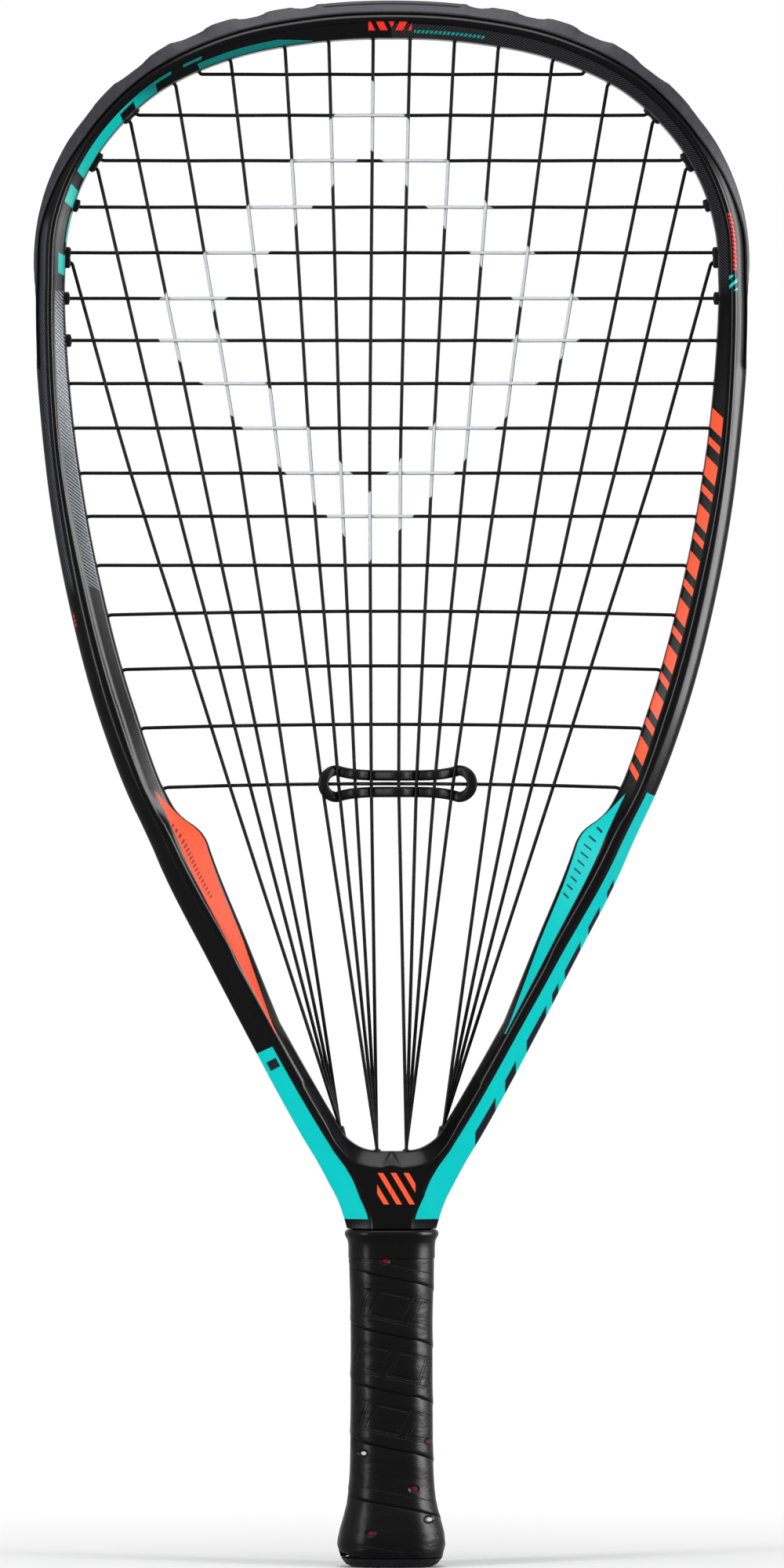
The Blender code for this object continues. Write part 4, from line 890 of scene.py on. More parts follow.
def main_descent(main):
    """One main from its hole down to the bottom of its port."""
    keys = [main_exit(main)]
    keys += passes([(main, cross) for cross in range(CROSS_COUNT)], -MAIN_WEAVE)
    port, axis = port_spot(main // PORT_BUNCH), port_axis(main // PORT_BUNCH)
    lane = port_lane(main % PORT_BUNCH)
    keys.append(port + axis * (PORT_PROUD + 2 * GAP) + lane)
    return ([in_groove(main_spot(main), LANE_OFFSET)] + woven(keys)
            + [port - axis * (PORT_LENGTH + PORT_TURN_DROP) + lane])


def main_route():
    route = [in_groove(main_spot(0), LANE_OFFSET, KNOT_TAIL)]
    for main in range(0, MAIN_COUNT, 2):
        down, up = main_descent(main), main_descent(main + 1)
        axis = port_axis(main // PORT_BUNCH)
        turn = [down[-1].lerp(up[-1], share) - axis * PORT_TURN_DEPTH for share in (0.3, 0.7)]
        route += down + turn + list(reversed(up))
        if main + 2 < MAIN_COUNT:
            route += groove_run(main_spot(main + 1), main_spot(main + 2), LANE_OFFSET)
    return route + [in_groove(main_spot(MAIN_COUNT - 1), LANE_OFFSET, -KNOT_TAIL)]


def cross_route():
    lane = -LANE_OFFSET
    route = [in_groove(cross_spot(0, -1), lane, KNOT_TAIL)]
    for cross in range(CROSS_COUNT):
        left, right = (cross_spot(cross, side) for side in (-1, 1))
        exits = [spot.from_inner(cross_stub(cross, spot.side) + EXIT_ROOM, lane)
                 for spot in (left, right)]
        keys = passes([(main, cross) for main in range(MAIN_COUNT)], CROSS_WEAVE)
        points = ([in_groove(left, lane)] + woven([exits[0]] + keys + [exits[1]])
                  + [in_groove(right, lane)])
        side = -1 if cross % 2 else 1
        route += points[::side]
        if cross + 1 < CROSS_COUNT:
            route += groove_run(cross_spot(cross, side), cross_spot(cross + 1, side), lane)
    return route + [in_groove(cross_spot(CROSS_COUNT - 1, -1), lane, KNOT_TAIL)]


def soft_path(points):
    """The path with its sharp turns rounded."""
    path = [points[0]]
    for before, here, after in zip(points, points[1:], points[2:]):
        back, ahead = before - here, after - here
        if back.length < 1e-7 or ahead.length < 1e-7:
            continue
        if back.angle(ahead) > radians(158):
            path.append(here)
            continue
        start, end = (here + way * min(0.45, TURN_REACH / way.length) for way in (back, ahead))
        path += [bend(start, here, end, n / 4) for n in range(5)]
    return path + [points[-1]]


def tube(name, points, section, closed=False, normal=None):
    """A tube along points with a section of across and up offsets, carried without twist."""
    rings, along = [], 0.0
    up = normal or DEEP
    for k, here in enumerate(points):
        before = points[k - 1] if k or closed else here
        after = points[(k + 1) % len(points)] if k + 1 < len(points) or closed else here
        tangent = (after - before).normalized()
        side = tangent.cross(up)
        if side.length < 0.05:
            side = tangent.cross(Vector((1.0, 0.0, 0.0)))
        side.normalize()
        lift = side.cross(tangent).normalized()
        if normal is None:
            up = lift
        if k:
            along += (here - points[k - 1]).length
        rings.append([(here + side * a + lift * b, along, n / len(section))
                      for n, (a, b) in enumerate(section)])
    return skin(name, rings, ("along", "around"), closed=closed, sharp=50.0)


def circle(radius, sides):
    return [(radius * a, radius * b) for a, b in pressed_circle(sides)]


def knot(spot, lane, shift):
    """A small pulled knot lying in the outer groove: three turns of string side by side."""
    meshes = []
    for k, (reach, size) in enumerate(KNOT_TURNS):
        centre = in_groove(spot, lane, copysign(reach, shift))
        points = []
        for n in range(KNOT_SIDES):
            angle = 2 * pi * n / KNOT_SIDES
            points.append(centre + spot.outward * (0.62 * size * cos(angle))
                          + DEEP * (0.62 * size * sin(angle))
                          + spot.along * (0.0003 * cos(angle + k)))
        meshes.append(tube("turn", points, circle(0.0005, 8), closed=True, normal=spot.along))
    return meshes


def make_string(name, route, lane, ends):
    """A string along its route, with a knot beside the hole at each end."""
    meshes = [tube(name, soft_path(route), circle(STRING_RADIUS, 12))]
    for spot, shift in ends:
        meshes += knot(spot, lane, shift)
    return joined(name + "_mesh", meshes, 50.0)


# Damper


def damper_path():
    """Closed centre line of the damper, woven round the lowest cross string."""
    wave = []
    for n, main in enumerate(range(DAMPER_FIRST_MAIN, DAMPER_FIRST_MAIN + DAMPER_MAINS)):
        wave.append((main_x(main, LOW_HEIGHT), -DAMPER_WEAVE if n % 2 == 0 else DAMPER_WEAVE))
    wave.append((wave[-1][0] + DAMPER_RIGHT_REACH, -DAMPER_END_LIFT))
    radius, middle = DAMPER_END_RADIUS, cross_height(CROSS_COUNT - 1, 0.0)
    left, right = wave[0][0] - DAMPER_LEFT_REACH + radius, wave[-1][0] - radius
    centre, half = (left + right) / 2, (right - left) / 2

    def spread(offset):
        return mix(DAMPER_WAIST, radius, min(1.0, abs(offset - centre) / half) ** 4)

    arc = [pi / 2 + pi * n / DAMPER_ARC_STEPS for n in range(DAMPER_ARC_STEPS + 1)]
    run = [mix(left, right, n / DAMPER_RUN_STEPS) for n in range(1, DAMPER_RUN_STEPS)]
    outline = [(left + radius * cos(angle), radius * sin(angle)) for angle in arc]
    outline += [(offset, -spread(offset)) for offset in run]
    outline += [(right - radius * cos(angle), -radius * sin(angle)) for angle in arc]
    outline += [(offset, spread(offset)) for offset in reversed(run)]
    return [Vector((offset, eased(wave, offset), middle + rise)) for offset, rise in outline]


def make_damper():
    section = [(DAMPER_HALF_HEIGHT * a, DAMPER_HALF_DEPTH * b)
               for a, b in pressed_circle(20, 0.7, 0.7)]
    return tube("damper_mesh", damper_path(), section, closed=True, normal=DEEP)


# Handle


def grip_half_width(height):
    """Half width of the wrapped handle, smooth through its rows."""
    rows = GRIP_ROWS
    for k, ((low, low_half), (high, high_half)) in enumerate(zip(rows, rows[1:])):
        if height <= high:
            before, after = rows[max(k - 1, 0)], rows[min(k + 2, len(rows) - 1)]
            span = high - low
            return hermite(low_half, high_half,
                           (high_half - before[1]) / (high - before[0]) * span,
                           (after[1] - low_half) / (after[0] - low) * span,
                           clamp((height - low) / span))
    return rows[-1][1]


def handle_point(angle, height, half_width, half_depth):
    """A point on the handle's rounded eight-sided section."""
    c, s = cos(angle), sin(angle)
    sides = (c, s, 0.699 * c + 0.601 * s, 0.699 * c - 0.601 * s)
    reach = sum(abs(side) ** 12 for side in sides) ** (1 / 12)
    return Vector((half_width * c / reach, half_depth * s / reach, height))


def handle_ring(height, half_width, flattening=GRIP_FLATTENING):
    return [handle_point(2 * pi * n / HANDLE_SIDES, height, half_width, half_width - flattening)
            for n in range(HANDLE_SIDES)]


def make_tape():
    """The wound tape: a ribbon with soft edges, each turn lapping over the one below it."""
    start = TAPE_LOW + TAPE_START_WIDTH - (TAPE_PITCH - TAPE_GAP)
    span = TAPE_HIGH - TAPE_END_WIDTH - start
    width = TAPE_PITCH + TAPE_LAP
    # Places across the tape with the inset from the wrapped handle's surface there
    section = [(0.0, 0.0003), (0.004, 0.0001), (0.015, -0.0001), (0.05, -0.0002), (0.12, -0.0001),
               (0.3, 0.0), (0.5, 0.0), (0.7, 0.0), (0.90, 0.0), (0.921, 0.00015), (0.933, 0.0008),
               (1.0, 0.0009), (1.0, TAPE_THICKNESS), (0.5, TAPE_THICKNESS), (0.13, TAPE_THICKNESS),
               (0.10, 0.0006), (0.0, 0.0006)]
    rings = []
    for k in range(int(span / TAPE_PITCH * HANDLE_SIDES) + 1):
        turn = k / HANDLE_SIDES
        angle = 2 * pi * (TAPE_START_SHARE - turn)
        ring = []
        for place, inset in section:
            height = min(max(start + TAPE_PITCH * turn + width * place, TAPE_LOW), TAPE_HIGH)
            half = grip_half_width(height) - inset
            ring.append((handle_point(angle, height, half, half - GRIP_FLATTENING),
                         turn * TAPE_TURN, place * width))
        rings.append(ring)
    return skin("tape_mesh", rings, ("along", "across"), sharp=50.0)


def make_collar():
    tape = grip_half_width(COLLAR_TAPE_HEIGHT) + 0.00008
    pallet = grip_half_width(COLLAR_PALLET_HEIGHT) - TAPE_THICKNESS
    rings = [handle_ring(*row) for row in COLLAR_ROWS]
    rings += [handle_ring(*row) for row in (
        (0.1200, 0.0150, 0.0028), (0.1197, 0.0147, 0.0028), (0.1183, 0.0148, 0.0028),
        (0.1153, pallet), (0.1112, pallet), (0.1110, tape), (0.1099, tape))]
    return skin("collar_mesh", rings, closed=True, sharp=45.0)


# Materials


SOFT_STEP = 0.00012


class Field:
    """A number that varies over a surface, combined with others by plain arithmetic."""

    def __init__(self, tree, socket):
        self.tree, self.socket = tree, socket

    def math(self, operation, *others, clamped=False):
        node = self.tree.nodes.new("ShaderNodeMath")
        node.operation = operation
        node.use_clamp = clamped
        for slot, item in zip(node.inputs, (self,) + others):
            if isinstance(item, Field):
                self.tree.links.new(item.socket, slot)
            else:
                slot.default_value = item
        return Field(self.tree, node.outputs[0])

    def __add__(self, other):
        return self.math('ADD', other)

    def __sub__(self, other):
        return self.math('SUBTRACT', other)

    def __mul__(self, other):
        return self.math('MULTIPLY', other)

    def __truediv__(self, other):
        return self.math('DIVIDE', other)

    def __or__(self, other):
        return self.math('MAXIMUM', other)

    def __neg__(self):
        return self.math('MULTIPLY', -1.0)

    def absolute(self):
        return self.math('ABSOLUTE')

    def inverse(self):
        return (-self) + 1.0

    def above(self, edge, soft=SOFT_STEP):
        """1 where the field is over an edge, 0 below it, with a soft step between."""
        return ((self - edge) / (2 * soft) + 0.5).math('ADD', 0.0, clamped=True)

    def below(self, edge, soft=SOFT_STEP):
        return self.above(edge, soft).inverse()

    def within(self, low, high, soft=SOFT_STEP):
        return self.above(low, soft) * self.below(high, soft)

    def wave(self, pitch):
        """Place within its period, from 0 to 1."""
        return (self / pitch).math('FRACT')

    def stripes(self, pitch, share, soft=0.06):
        """Stripes of a share of the pitch."""
        return ((self.wave(pitch) - 0.5).absolute()).below(share / 2, soft / 2)


class Finish:
    """A node material in the making."""

    def __init__(self, name, colour, roughness, **sockets):
        self.material = bpy.data.materials.new(name)
        self.material.use_nodes = True
        self.tree = self.material.node_tree
        self.link = self.tree.links.new
        self.shader = self.tree.nodes["Principled BSDF"]
        self.shader.inputs["Base Color"].default_value = (*colour, 1.0)
        self.shader.inputs["Roughness"].default_value = roughness
        for key, value in sockets.items():
            self.shader.inputs[key.replace("_", " ")].default_value = value
        self.material.diffuse_color = (*colour, 1.0)
        self.colour = colour
        self.coords = self.node("TexCoord").outputs["Object"]
        self.x, self.y, self.z = self.parts(self.coords)
        self.normal = None

    def node(self, kind):
        return self.tree.nodes.new("ShaderNode" + kind)

    def parts(self, vector):
        """The three numbers of a vector."""
        node = self.node("SeparateXYZ")
        self.link(vector, node.inputs[0])
        return [Field(self.tree, out) for out in node.outputs]

    def attribute(self, name):
        node = self.node("Attribute")
        node.attribute_name = name
        return Field(self.tree, node.outputs["Fac"])

    def noise(self, scale, detail=3.0, rough=0.5, stretch=None):
        node = self.node("TexNoise")
        node.inputs["Scale"].default_value = scale
        node.inputs["Detail"].default_value = detail
        node.inputs["Roughness"].default_value = rough
        place = self.coords
        if stretch:
            mapping = self.node("Mapping")
            mapping.inputs["Scale"].default_value = stretch
            self.link(place, mapping.inputs["Vector"])
            place = mapping.outputs[0]
        self.link(place, node.inputs["Vector"])
        return Field(self.tree, node.outputs["Fac"])

    def paint(self, mask, colour):
        """Lay a colour over what is there, where the mask is 1."""
        node = self.node("Mix")
        node.data_type = 'RGBA'
        self.link(mask.socket, node.inputs[0])
        if isinstance(self.colour, tuple):
            node.inputs[6].default_value = (*self.colour, 1.0)
        else:
            self.link(self.colour, node.inputs[6])
        node.inputs[7].default_value = (*colour, 1.0)
        self.colour = node.outputs[2]
        self.link(self.colour, self.shader.inputs["Base Color"])

    def set(self, socket, field):
        self.link(field.socket, self.shader.inputs[socket])

    def bump(self, height, distance, strength=1.0):
        node = self.node("Bump")
        node.inputs["Distance"].default_value = distance
        node.inputs["Strength"].default_value = strength
        self.link(height.socket, node.inputs["Height"])
        if self.normal:
            self.link(self.normal, node.inputs["Normal"])
        self.normal = node.outputs[0]
        self.link(self.normal, self.shader.inputs["Normal"])


BLACK = (0.0018, 0.0018, 0.0022)
TEAL = (0.0, 0.570, 0.555)
BLOCK_TEAL = (0.0, 0.52, 0.47)
# Painted shade of the teal blocks at the top of the left shoulder
SHADED_TEAL = (0.001, 0.165, 0.155)
DOT_TEAL = (0.0, 0.30, 0.27)
ORANGE = (0.92, 0.098, 0.036)
RED = (0.85, 0.03, 0.02)
DARK_RED = (0.20, 0.018, 0.010)
INK = (0.010, 0.014, 0.020)
DARK_HATCH = (0.034, 0.034, 0.040)
BEVEL_HATCH = (0.12, 0.135, 0.165)
LIGHT_HATCH = (0.26, 0.29, 0.34)

# The artwork is laid out on a grid with its rows counted downwards from above the tip
PAINT_PITCH = 0.28e-3
BASE_ROW = 1997
MIDDLE_COLUMN = 499.5
RIGHT_CUTS = ((606, 632), (644, 658), (671.5, 696.5), (704, 712), (720, 740), (750, 764.5),
              (774, 782.5))
# Blocks of the left shoulder: their ends on the grid and the bands that they span
LEFT_BLOCKS = (
    ((234, 94), (252, 86), 3.02, 3.22), ((174, 139), (198, 118), 3.02, 3.92),
    ((198, 118), (216, 103), 3.02, 3.25), ((101, 228), (152, 153), 3.02, 3.94),
    ((152, 153), (168, 137), 3.02, 3.25), ((87, 268), (95, 242), 3.02, 3.96),
    ((83, 312), (89, 272), 3.93, 4.25), ((76, 354), (77, 326), 3.35, 4.02),
)
# Holes of the tape: column, row, and whether the red backing shows in it
TAPE_HOLES = ((491, 1607, True), (548, 1837, True), (463, 1852, False), (528, 1897, True),
              (547, 1936, False), (473, 1953, True))
# Embossed outlines along the tape, and the seam beside its edge
EMBOSS_PITCH = 0.0150
EMBOSS_MIDDLE = 0.0103
EMBOSS_REACH = 0.0100
EMBOSS_HEIGHTS = (0.040, 0.099)
SEAM_PLACE = 0.0046
STRING_TWIST = 640.0
# The ink of the stencil on the strings: a lozenge's outline
STENCIL_X = -0.0080
STENCIL_Z = 0.4450
STENCIL_HALF_WIDTH = 0.0830
STENCIL_HALF_HEIGHT = 0.0880
STENCIL_INNER = 0.72


def row(y):
    """Height of a row of the artwork's grid."""
    return (BASE_ROW - y) * PAINT_PITCH


def column(x):
    return (x - MIDDLE_COLUMN) * PAINT_PITCH


def run_near(x, y):
    """Distance round the moulding of the place nearest to a point of the artwork's grid."""
    spot = Vector((abs(column(x)), row(y)))
    return min(HEAD, key=lambda s: (s.outer.lerp(s.inner, 0.7) - spot).length).run


def across_face(finish):
    """Place across the racket as it is seen from either face."""
    return finish.x * (finish.y.above(0.0, 0.00002) * -2.0 + 1.0)


def frame_finish():
    paint = Finish("painted_moulding", BLACK, 0.20, Specular_IOR_Level=0.065)
    band, run, inset, edge = (paint.attribute(name)
                              for name in ("band", "run", "from_inner", "from_outer"))
    z, u = paint.z, across_face(paint)
    right, left = u.above(0.0, 0.00001), u.below(0.0, 0.00001)
    away = u.absolute()

    def fall(high, low):
        """Rises from 0 to 1 from one row of the grid down to a lower one."""
        return ((-z + row(high)) / (row(high) - row(low))).math('ADD', 0.0, clamped=True)

    def columns(start, end):
        return u.within(column(start), column(end), 0.0001)

    def stretch(side, start, end, soft=0.0002, along=run):
        """The part of one side between two points of the grid."""
        return side * along.within(run_near(*start), run_near(*end), soft)

    # Fine slanted lines of the dark hatching on the right and over the top
    zone = right * run.within(run_near(905, 365), HEAD[-1].run + 0.01, 0.004)
    lines = (run + inset * 1.1).stripes(0.0011, 0.45, 0.2)
    paint.paint(lines * zone * band.within(3.0, 4.02, 0.02), DARK_HATCH)

    # Light hatching on the left, faint on the outer bevel and worn on the inner one; on the outer bevel
    # it strengthens towards the ridge as a painted highlight
    lines = (run - edge * 2.4).stripes(0.00130, 0.42, 0.12)
    zone = stretch(left, (100, 745), (60, 285), 0.003)
    # Painted highlight: the printed hatching on the outer bevel grows stronger towards the ridge's edge
    ridge_highlight = ((band - 1.0) / 0.95).math('POWER', 2.0)
    paint.paint(lines * zone * band.within(0.9, 1.98, 0.05) * ridge_highlight, BEVEL_HATCH)
    worn = (paint.noise(120.0, 3.0, 0.6) * 1.1 + 0.35).math('MINIMUM', 1.0)
    lines = (run - inset * 1.1).stripes(0.00136, 0.46, 0.12) * worn
    zone = left * (run - inset * 0.7).above(run_near(117, 756)) * run.below(run_near(72, 372))
    paint.paint(lines * zone * band.within(3.08, 3.90, 0.03), LIGHT_HATCH)

    # Plates of colour on the outer bevel
    low_right = (z + (u - column(825)) * 0.4545).below(row(1011))
    low_left = (z - (u - column(348.4)) * 0.46).below(row(1334))
    plates = (right * low_right | left * low_left) * z.above(row(1554))
    paint.paint(plates * band.within(0.35, 2.0, 0.02), TEAL)

    # Ink cuts at the outer edge of the right plate, deeper towards the throat
    cuts = columns(*RIGHT_CUTS[0])
    for pair in RIGHT_CUTS[1:]:
        cuts = cuts | columns(*pair)
    deep = edge - fall(1130, 1440) * 0.0014
    zone = z.within(row(1480), row(1110), 0.0004)
    paint.paint(cuts * zone * band.within(0.3, 1.9, 0.03) * deep.below(0.0012), INK)

    # Plates on the wings, with a black border that widens downwards
    border = fall(1030, 1130) * 0.0009 + 0.0003
    tail = fall(1200, 1316) * (left * 0.0016 + right * 0.0010)
    inside = (inset - border - tail).above(0.0)
    tip = (z - away * 1.051).below(0.18811) | (z - away * 0.72).below(0.21350)
    wings = right * edge.above(0.0100) | left * edge.above(0.0094)
    wings = wings * inside * tip * z.above(row(1318))
    paint.paint(wings * right, TEAL)
    paint.paint(wings * left, ORANGE)

    # Slanted bars down the right inner bevel
    slanted = run + inset * 0.85
    bars = slanted.stripes(0.0176, 0.40, 0.012) | (slanted + 0.0082).stripes(0.0176, 0.15, 0.012)
    zone = stretch(right, (815, 992), (920, 516), along=slanted)
    paint.paint(bars * band.within(3.12, 3.97, 0.02) * zone, ORANGE)

    # Blocks on the left shoulder, turning to a deeper teal towards the top as painted shade
    reach = (run - run_near(254, 85)) / (run_near(400, 49) - run_near(254, 85))
    blocks = reach.within(0.0, 1.0, 0.01) * band.below(3.92, 0.02)
    blocks = blocks * (band - ((reach - 0.72) * 1.5 | 0.0)).above(3.46, 0.02)
    for start, end, low, high in LEFT_BLOCKS:
        block = (run - inset * 0.5).within(run_near(*start), run_near(*end), 0.0002)
        blocks = blocks | block * band.within(low, high, 0.02)
    blocks = blocks * left * z.above(row(356))
    paint.paint(blocks, BLOCK_TEAL)
    # Painted shade: the blocks darken to a deeper teal above this row, where the top of the shoulder is
    # in shade
    paint.paint(blocks * z.above(row(128), 0.0045), SHADED_TEAL)

    # Short strokes and dots: their pattern, zone, bands and colour
    top, dots = z.above(row(60)), (run - edge * 0.5).stripes(0.0016, 0.6, 0.2)
    for pattern, zone, bands, colour in (
            ((run + inset * 0.5).stripes(0.0017, 0.42, 0.2),
             stretch(left, (275, 1145), (222, 1046)), (3.14, 3.31, 0.02), DARK_RED),
            ((run + inset * 0.3).stripes(0.0034, 0.20, 0.1),
             stretch(right, (724, 1150), (768, 1046)), (3.36, 3.70, 0.02), INK),
            ((run - edge * 0.5).stripes(0.0046, 0.6, 0.05), columns(470, 525) * top,
             (2.75, 3.45, 0.03), RED),
            (dots, columns(528, 618) * top, (3.42, 3.62, 0.03), DOT_TEAL),
            (dots, stretch(right, (940, 345), (928, 270)), (2.1, 2.5, 0.03), RED),
            ((run + edge * 0.8).stripes(0.0032, 0.4, 0.05),
             stretch(right, (940, 372), (940, 355)), (2.05, 2.95, 0.03), TEAL),
            (dots, stretch(left, (97, 800), (95, 780)), (1.25, 1.42, 0.03), RED),
            (1.0, stretch(left, (345, 1364), (338, 1358)), (1.25, 1.85, 0.03), INK)):
        paint.paint(zone * pattern * band.within(*bands), colour)

    # Plain emblem on the throat: three slanted bars
    across, up = u - column(505.5), z - row(1515)
    slant = (across + up * 0.6).stripes(0.0046, 0.42, 0.05)
    emblem = slant * across.within(-0.0068, 0.0068) * up.within(-0.0056, 0.0056)
    paint.paint(emblem * band.within(2.0, 3.0, 0.02), ORANGE)

    paint.bump(paint.noise(2600.0, 2.0), 0.00002, 0.25)
    paint.set("Roughness", paint.noise(90.0, 3.0) * 0.08 + wings * 0.24 + 0.20)
    return paint


def plastic_finish(name, colour, roughness, grain=0.00004):
    finish = Finish(name, colour, roughness, Specular_IOR_Level=0.06)
    patch = finish.noise(240.0, 4.0, 0.6)
    finish.paint((patch - 0.35).math('MULTIPLY', 1.6, clamped=True),
                 tuple(c * 1.5 for c in colour))
    finish.bump(finish.noise(3800.0, 2.0), grain, 0.6)
    finish.set("Roughness", patch * 0.16 + (roughness - 0.08))
    return finish


def string_finish(name, seed):
    """String nylon with its twist, specks of wear and the stencil's ink on its front."""
    finish = Finish(name, (0.0020, 0.0020, 0.0022), 0.30, Specular_IOR_Level=0.06)
    along, around = finish.attribute("along"), finish.attribute("around")
    twist = (along * STRING_TWIST + around + seed).wave(0.5)
    finish.bump((twist - 0.5).absolute(), 0.00006, 0.7)
    speck = finish.noise(5200.0, 1.0).above(0.67, 0.02)
    finish.paint(speck * 0.14, (0.30, 0.30, 0.31))
    reach = ((finish.x - STENCIL_X) / STENCIL_HALF_WIDTH).absolute()
    reach = reach + ((finish.z - STENCIL_Z) / STENCIL_HALF_HEIGHT).absolute()
    stencil = (reach + finish.noise(420.0, 3.0) * 0.035).within(STENCIL_INNER, 1.0, 0.004)
    sideways, deep, upward = finish.parts(finish.node("NewGeometry").outputs["Normal"])
    facing = (deep.absolute() + upward * 0.45 - sideways * 0.45).above(0.42, 0.12)
    finish.paint(stencil * facing, (0.52, 0.55, 0.58))
    finish.set("Roughness", finish.noise(900.0, 2.0) * 0.2 + 0.26)
    return finish


def tape_finish():
    finish = Finish("grip_tape", (0.0020, 0.0020, 0.0020), 0.34, Specular_IOR_Level=0.06)
    along, across = finish.attribute("along"), finish.attribute("across")
    creases = finish.noise(70.0, 3.0, 0.5, (1.0, 1.0, 2.4))
    finish.bump(creases, 0.0014, 0.5)
    finish.bump(finish.noise(600.0, 2.0, 0.5), 0.00004, 0.3)

    # Plain embossed outlines on the middle turns
    cell = ((along + across * 0.45).wave(EMBOSS_PITCH) - 0.5).absolute()
    rise = ((across - EMBOSS_MIDDLE) / EMBOSS_REACH).absolute()
    outline = (cell.below(0.42, 0.01) * rise.below(0.50, 0.01)
               - cell.below(0.34, 0.01) * rise.below(0.39, 0.01))
    finish.bump(-(outline * finish.z.within(*EMBOSS_HEIGHTS, 0.0006)), 0.0007, 0.9)

    # Punched holes, with the red backing or the light showing in them
    u = across_face(finish)
    for x, y, backed in TAPE_HOLES:
        wide, tall = (u - column(x)) / 1.35, finish.z - row(y)
        reach = (wide * wide + tall * tall).math('SQRT')
        finish.bump(-reach.below(0.00125, 0.0003), 0.0005, 0.9)
        size, colour = (0.00068, (0.14, 0.003, 0.003)) if backed else (0.00060, (0.55, 0.55, 0.55))
        finish.paint((reach + wide * -0.3).below(size, SOFT_STEP), colour)

    # The seam beside each turn's edge
    seam = (across - SEAM_PLACE).absolute().below(0.00014, 0.00008)
    finish.bump(-seam, 0.00020, 0.8)
    finish.set("Roughness", creases * 0.16 + 0.30)
    return finish


# Camera, light and floor

CAMERA_DISTANCE = 6.0
CAMERA_X = 0.00014
CAMERA_HEIGHT = 0.2792
VIEW_HEIGHT = 0.560
AMBIENT = 0.30
FLOOR_RADIUS = 3.0
FLOOR_SIDES = 48
SHADOW_REACH = 0.26
SHADOW_FADE = 0.20
# Lamps for the colours, and panels that show only in the gloss: place, height of what they aim
# at, width and height, power
LAMPS = {
    "left_box": ((-1.6, -1.6, 1.0), 0.30, (0.5, 0.5), 25.0),
    "right_box": ((1.9, -1.5, 0.9), 0.30, (0.5, 0.5), 24.0),
    "top_box": ((0.0, -0.6, 2.2), 0.40, (1.0, 1.0), 14.0),
    "rear_box": ((0.0, 2.4, 1.2), 0.30, (1.2, 1.2), 26.0),
    "right_panel": ((0.993, -0.115, 0.47), 0.47, (0.45, 0.90), 61.0),
    "left_panel": ((-0.97, -0.70, 0.50), 0.50, (0.26, 0.96), 31.0),
    "top_panel": ((0.0, -0.10, 1.50), 0.20, (1.0, 0.70), 30.0),
}


def add_camera():
    data = bpy.data.cameras.new("camera")
    data.sensor_fit = 'AUTO'
    data.sensor_width = 36.0
    data.lens = data.sensor_width * CAMERA_DISTANCE / VIEW_HEIGHT
    data.clip_end = 60.0
    item = add_object("camera", data)
    item.location = (CAMERA_X, -CAMERA_DISTANCE, CAMERA_HEIGHT)
    item.rotation_euler = (pi / 2, 0.0, 0.0)
    bpy.context.scene.camera = item


def add_light(name, place, aim, size, power):
    data = bpy.data.lights.new(name, 'AREA')
    data.shape = 'RECTANGLE'
    data.size, data.size_y = size
    data.energy = power
    item = add_object(name, data)
    item.location = place
    way = Vector((0.0, 0.0, aim)) - item.location
    item.rotation_euler = way.to_track_quat('-Z', 'Y').to_euler()
    item.visible_camera = False
    item.visible_glossy = name.endswith("panel")
    item.visible_diffuse = not item.visible_glossy


def seen_rays(tree):
    """1 for the rays that show the background: from the camera, and through gloss and glass."""
    path = tree.nodes.new("ShaderNodeLightPath")
    camera, gloss, through = (Field(tree, path.outputs[name]) for name in (
        "Is Camera Ray", "Is Glossy Ray", "Is Transmission Ray"))
    return camera | gloss | through


def show_over(tree, share, under, over, output):
    """Show one shader over another, by a share, on what an output node stands for."""
    blend = tree.nodes.new("ShaderNodeMixShader")
    for socket, slot in zip((share.socket, under.outputs[0], over.outputs[0]), blend.inputs):
        tree.links.new(socket, slot)
    tree.links.new(blend.outputs[0], tree.nodes[output].inputs["Surface"])


def add_world():
    """Soft light from all round, and plain white behind the racket."""
    world = bpy.data.worlds.new("studio")
    bpy.context.scene.world = world
    world.use_nodes = True
    tree = world.node_tree
    ambient, plain = tree.nodes["Background"], tree.nodes.new("ShaderNodeBackground")
    for node, strength in ((ambient, AMBIENT), (plain, 1.0)):
        node.inputs["Color"].default_value = (1.0, 1.0, 1.0, 1.0)
        node.inputs["Strength"].default_value = strength
    show_over(tree, seen_rays(tree), ambient, plain, "World Output")


def add_floor():
    """A pale floor that takes the shadow near the racket and fades to the white background."""
    mesh = bpy.data.meshes.new("floor")
    mesh.from_pydata([(x, y, -0.0002) for x, y in circle(FLOOR_RADIUS, FLOOR_SIDES)], [],
                     [tuple(range(FLOOR_SIDES))])
    finish = Finish("floor_paper", (0.92, 0.92, 0.92), 0.9, Specular_IOR_Level=0.0)
    finish.bump(finish.noise(60.0, 3.0), 0.0002, 0.1)
    reach = (finish.x * finish.x + finish.y * finish.y).math('SQRT')
    show_over(finish.tree, seen_rays(finish.tree) * reach.above(SHADOW_REACH, SHADOW_FADE), finish.shader,
              finish.node("Emission"), "Material Output")
    mesh.materials.append(finish.material)
    add_object("floor", mesh)


# Assembly

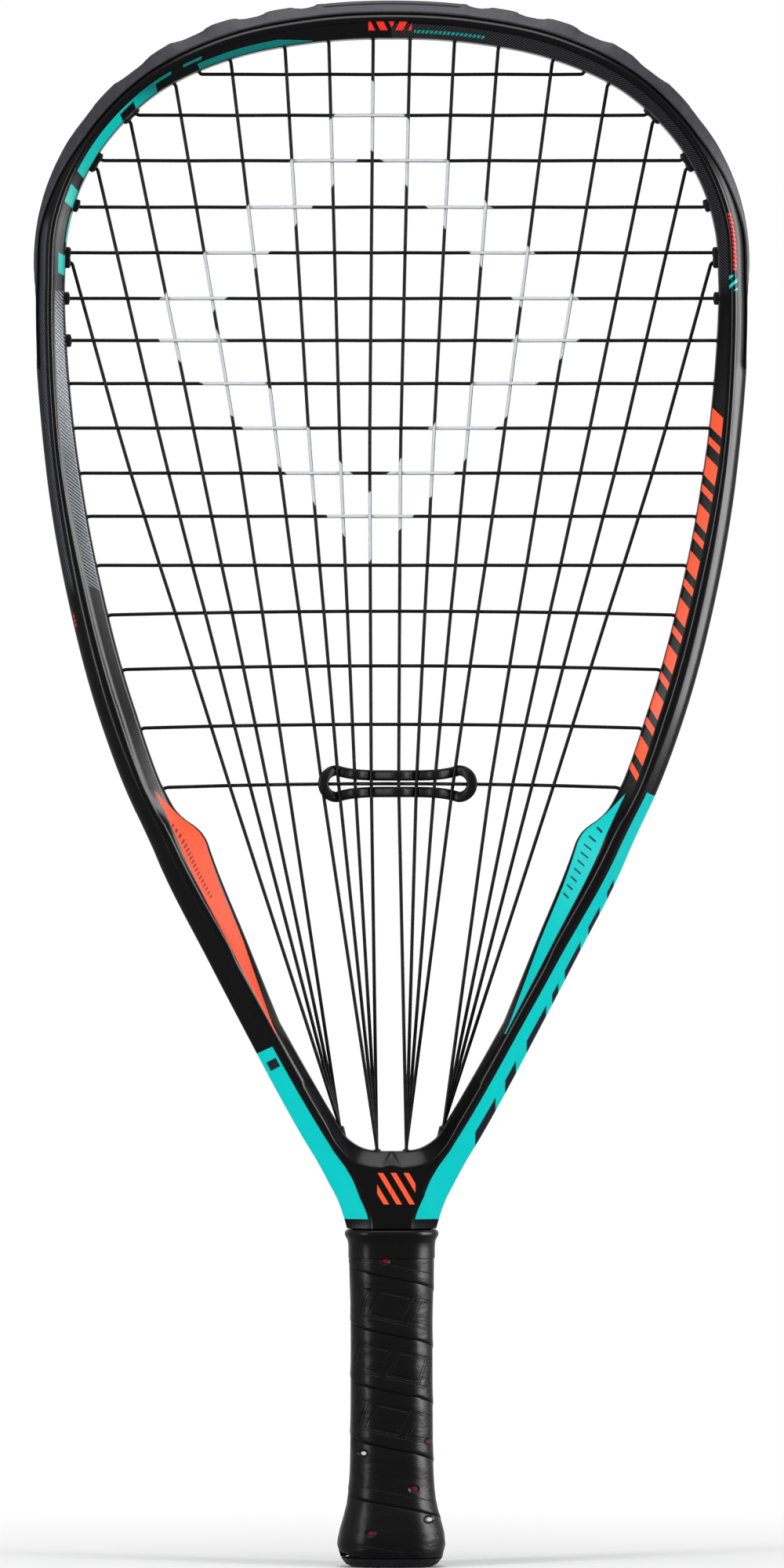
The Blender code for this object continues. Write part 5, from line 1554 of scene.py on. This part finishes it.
add_camera()
add_world()
add_floor()
for name, setting in LAMPS.items():
    add_light(name, *setting)

groups = hole_groups()
guard = plastic_finish("guard_nylon", (0.030, 0.030, 0.036), 0.42, 0.00006)
# Painted shade: the guard's barrels and bosses, which carry no distance round the moulding, are painted
# near black for the shade on the inner side of the head
guard.paint(guard.attribute("run").below(0.001, 0.0005), (0.003, 0.003, 0.0034))
strip = plastic_finish("strip_nylon", (0.0025, 0.0025, 0.0028), 0.40)
mains = make_string("mains", main_route(), LANE_OFFSET,
                    ((main_spot(0), 1), (main_spot(MAIN_COUNT - 1), -1)))
crosses = make_string("crosses", cross_route(), -LANE_OFFSET,
                      ((cross_spot(0, -1), 1), (cross_spot(CROSS_COUNT - 1, -1), 1)))
for name, mesh, finish, node, slot in (
        ("racket_frame", make_frame(), frame_finish(), "frame", "carbon_moulding"),
        ("tip_guard", make_guard(groups["guard"]), guard, "bumper_guard", "guard_plastic"),
        ("grommets_left", make_strip(-1, groups[-1]), strip, "grommet_strip_left", "strip_plastic"),
        ("grommets_right", make_strip(1, groups[1]), strip, "grommet_strip_right", "strip_plastic"),
        ("mains", mains, string_finish("main_nylon", 0.0), "main_string", "main_gut"),
        ("crosses", crosses, string_finish("cross_nylon", 0.3), "cross_string", "cross_gut"),
        ("damper", make_damper(), plastic_finish("damper_rubber", (0.0025, 0.0025, 0.0028), 0.40),
         "vibration_damper", "damper_rubber"),
        ("tape", make_tape(), tape_finish(), "grip_tape", "grip_polymer"),
        ("collar", make_collar(),
         plastic_finish("collar_rubber", (0.0018, 0.0018, 0.0020), 0.34, 0.00001),
         "grip_collar", "collar_rubber")):
    add_piece(name, mesh, finish.material, node)
for bunch, place in enumerate(("left_outer", "left_inner", "right_inner", "right_outer")):
    add_piece("port_rubber_" + place, make_bushing(bunch), strip.material, "port_bushing_" + place)
for name, finish in (("butt_cap", plastic_finish("cap_plastic", (0.009, 0.009, 0.010), 0.45)),
                     ("handle_pallet", plastic_finish("pallet_foam", (0.08, 0.075, 0.07), 0.8))):
    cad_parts[name].material_slots[0].material = finish.material

bpy.context.scene.view_settings.view_transform = 'Standard'
bpy.context.view_layer.update()
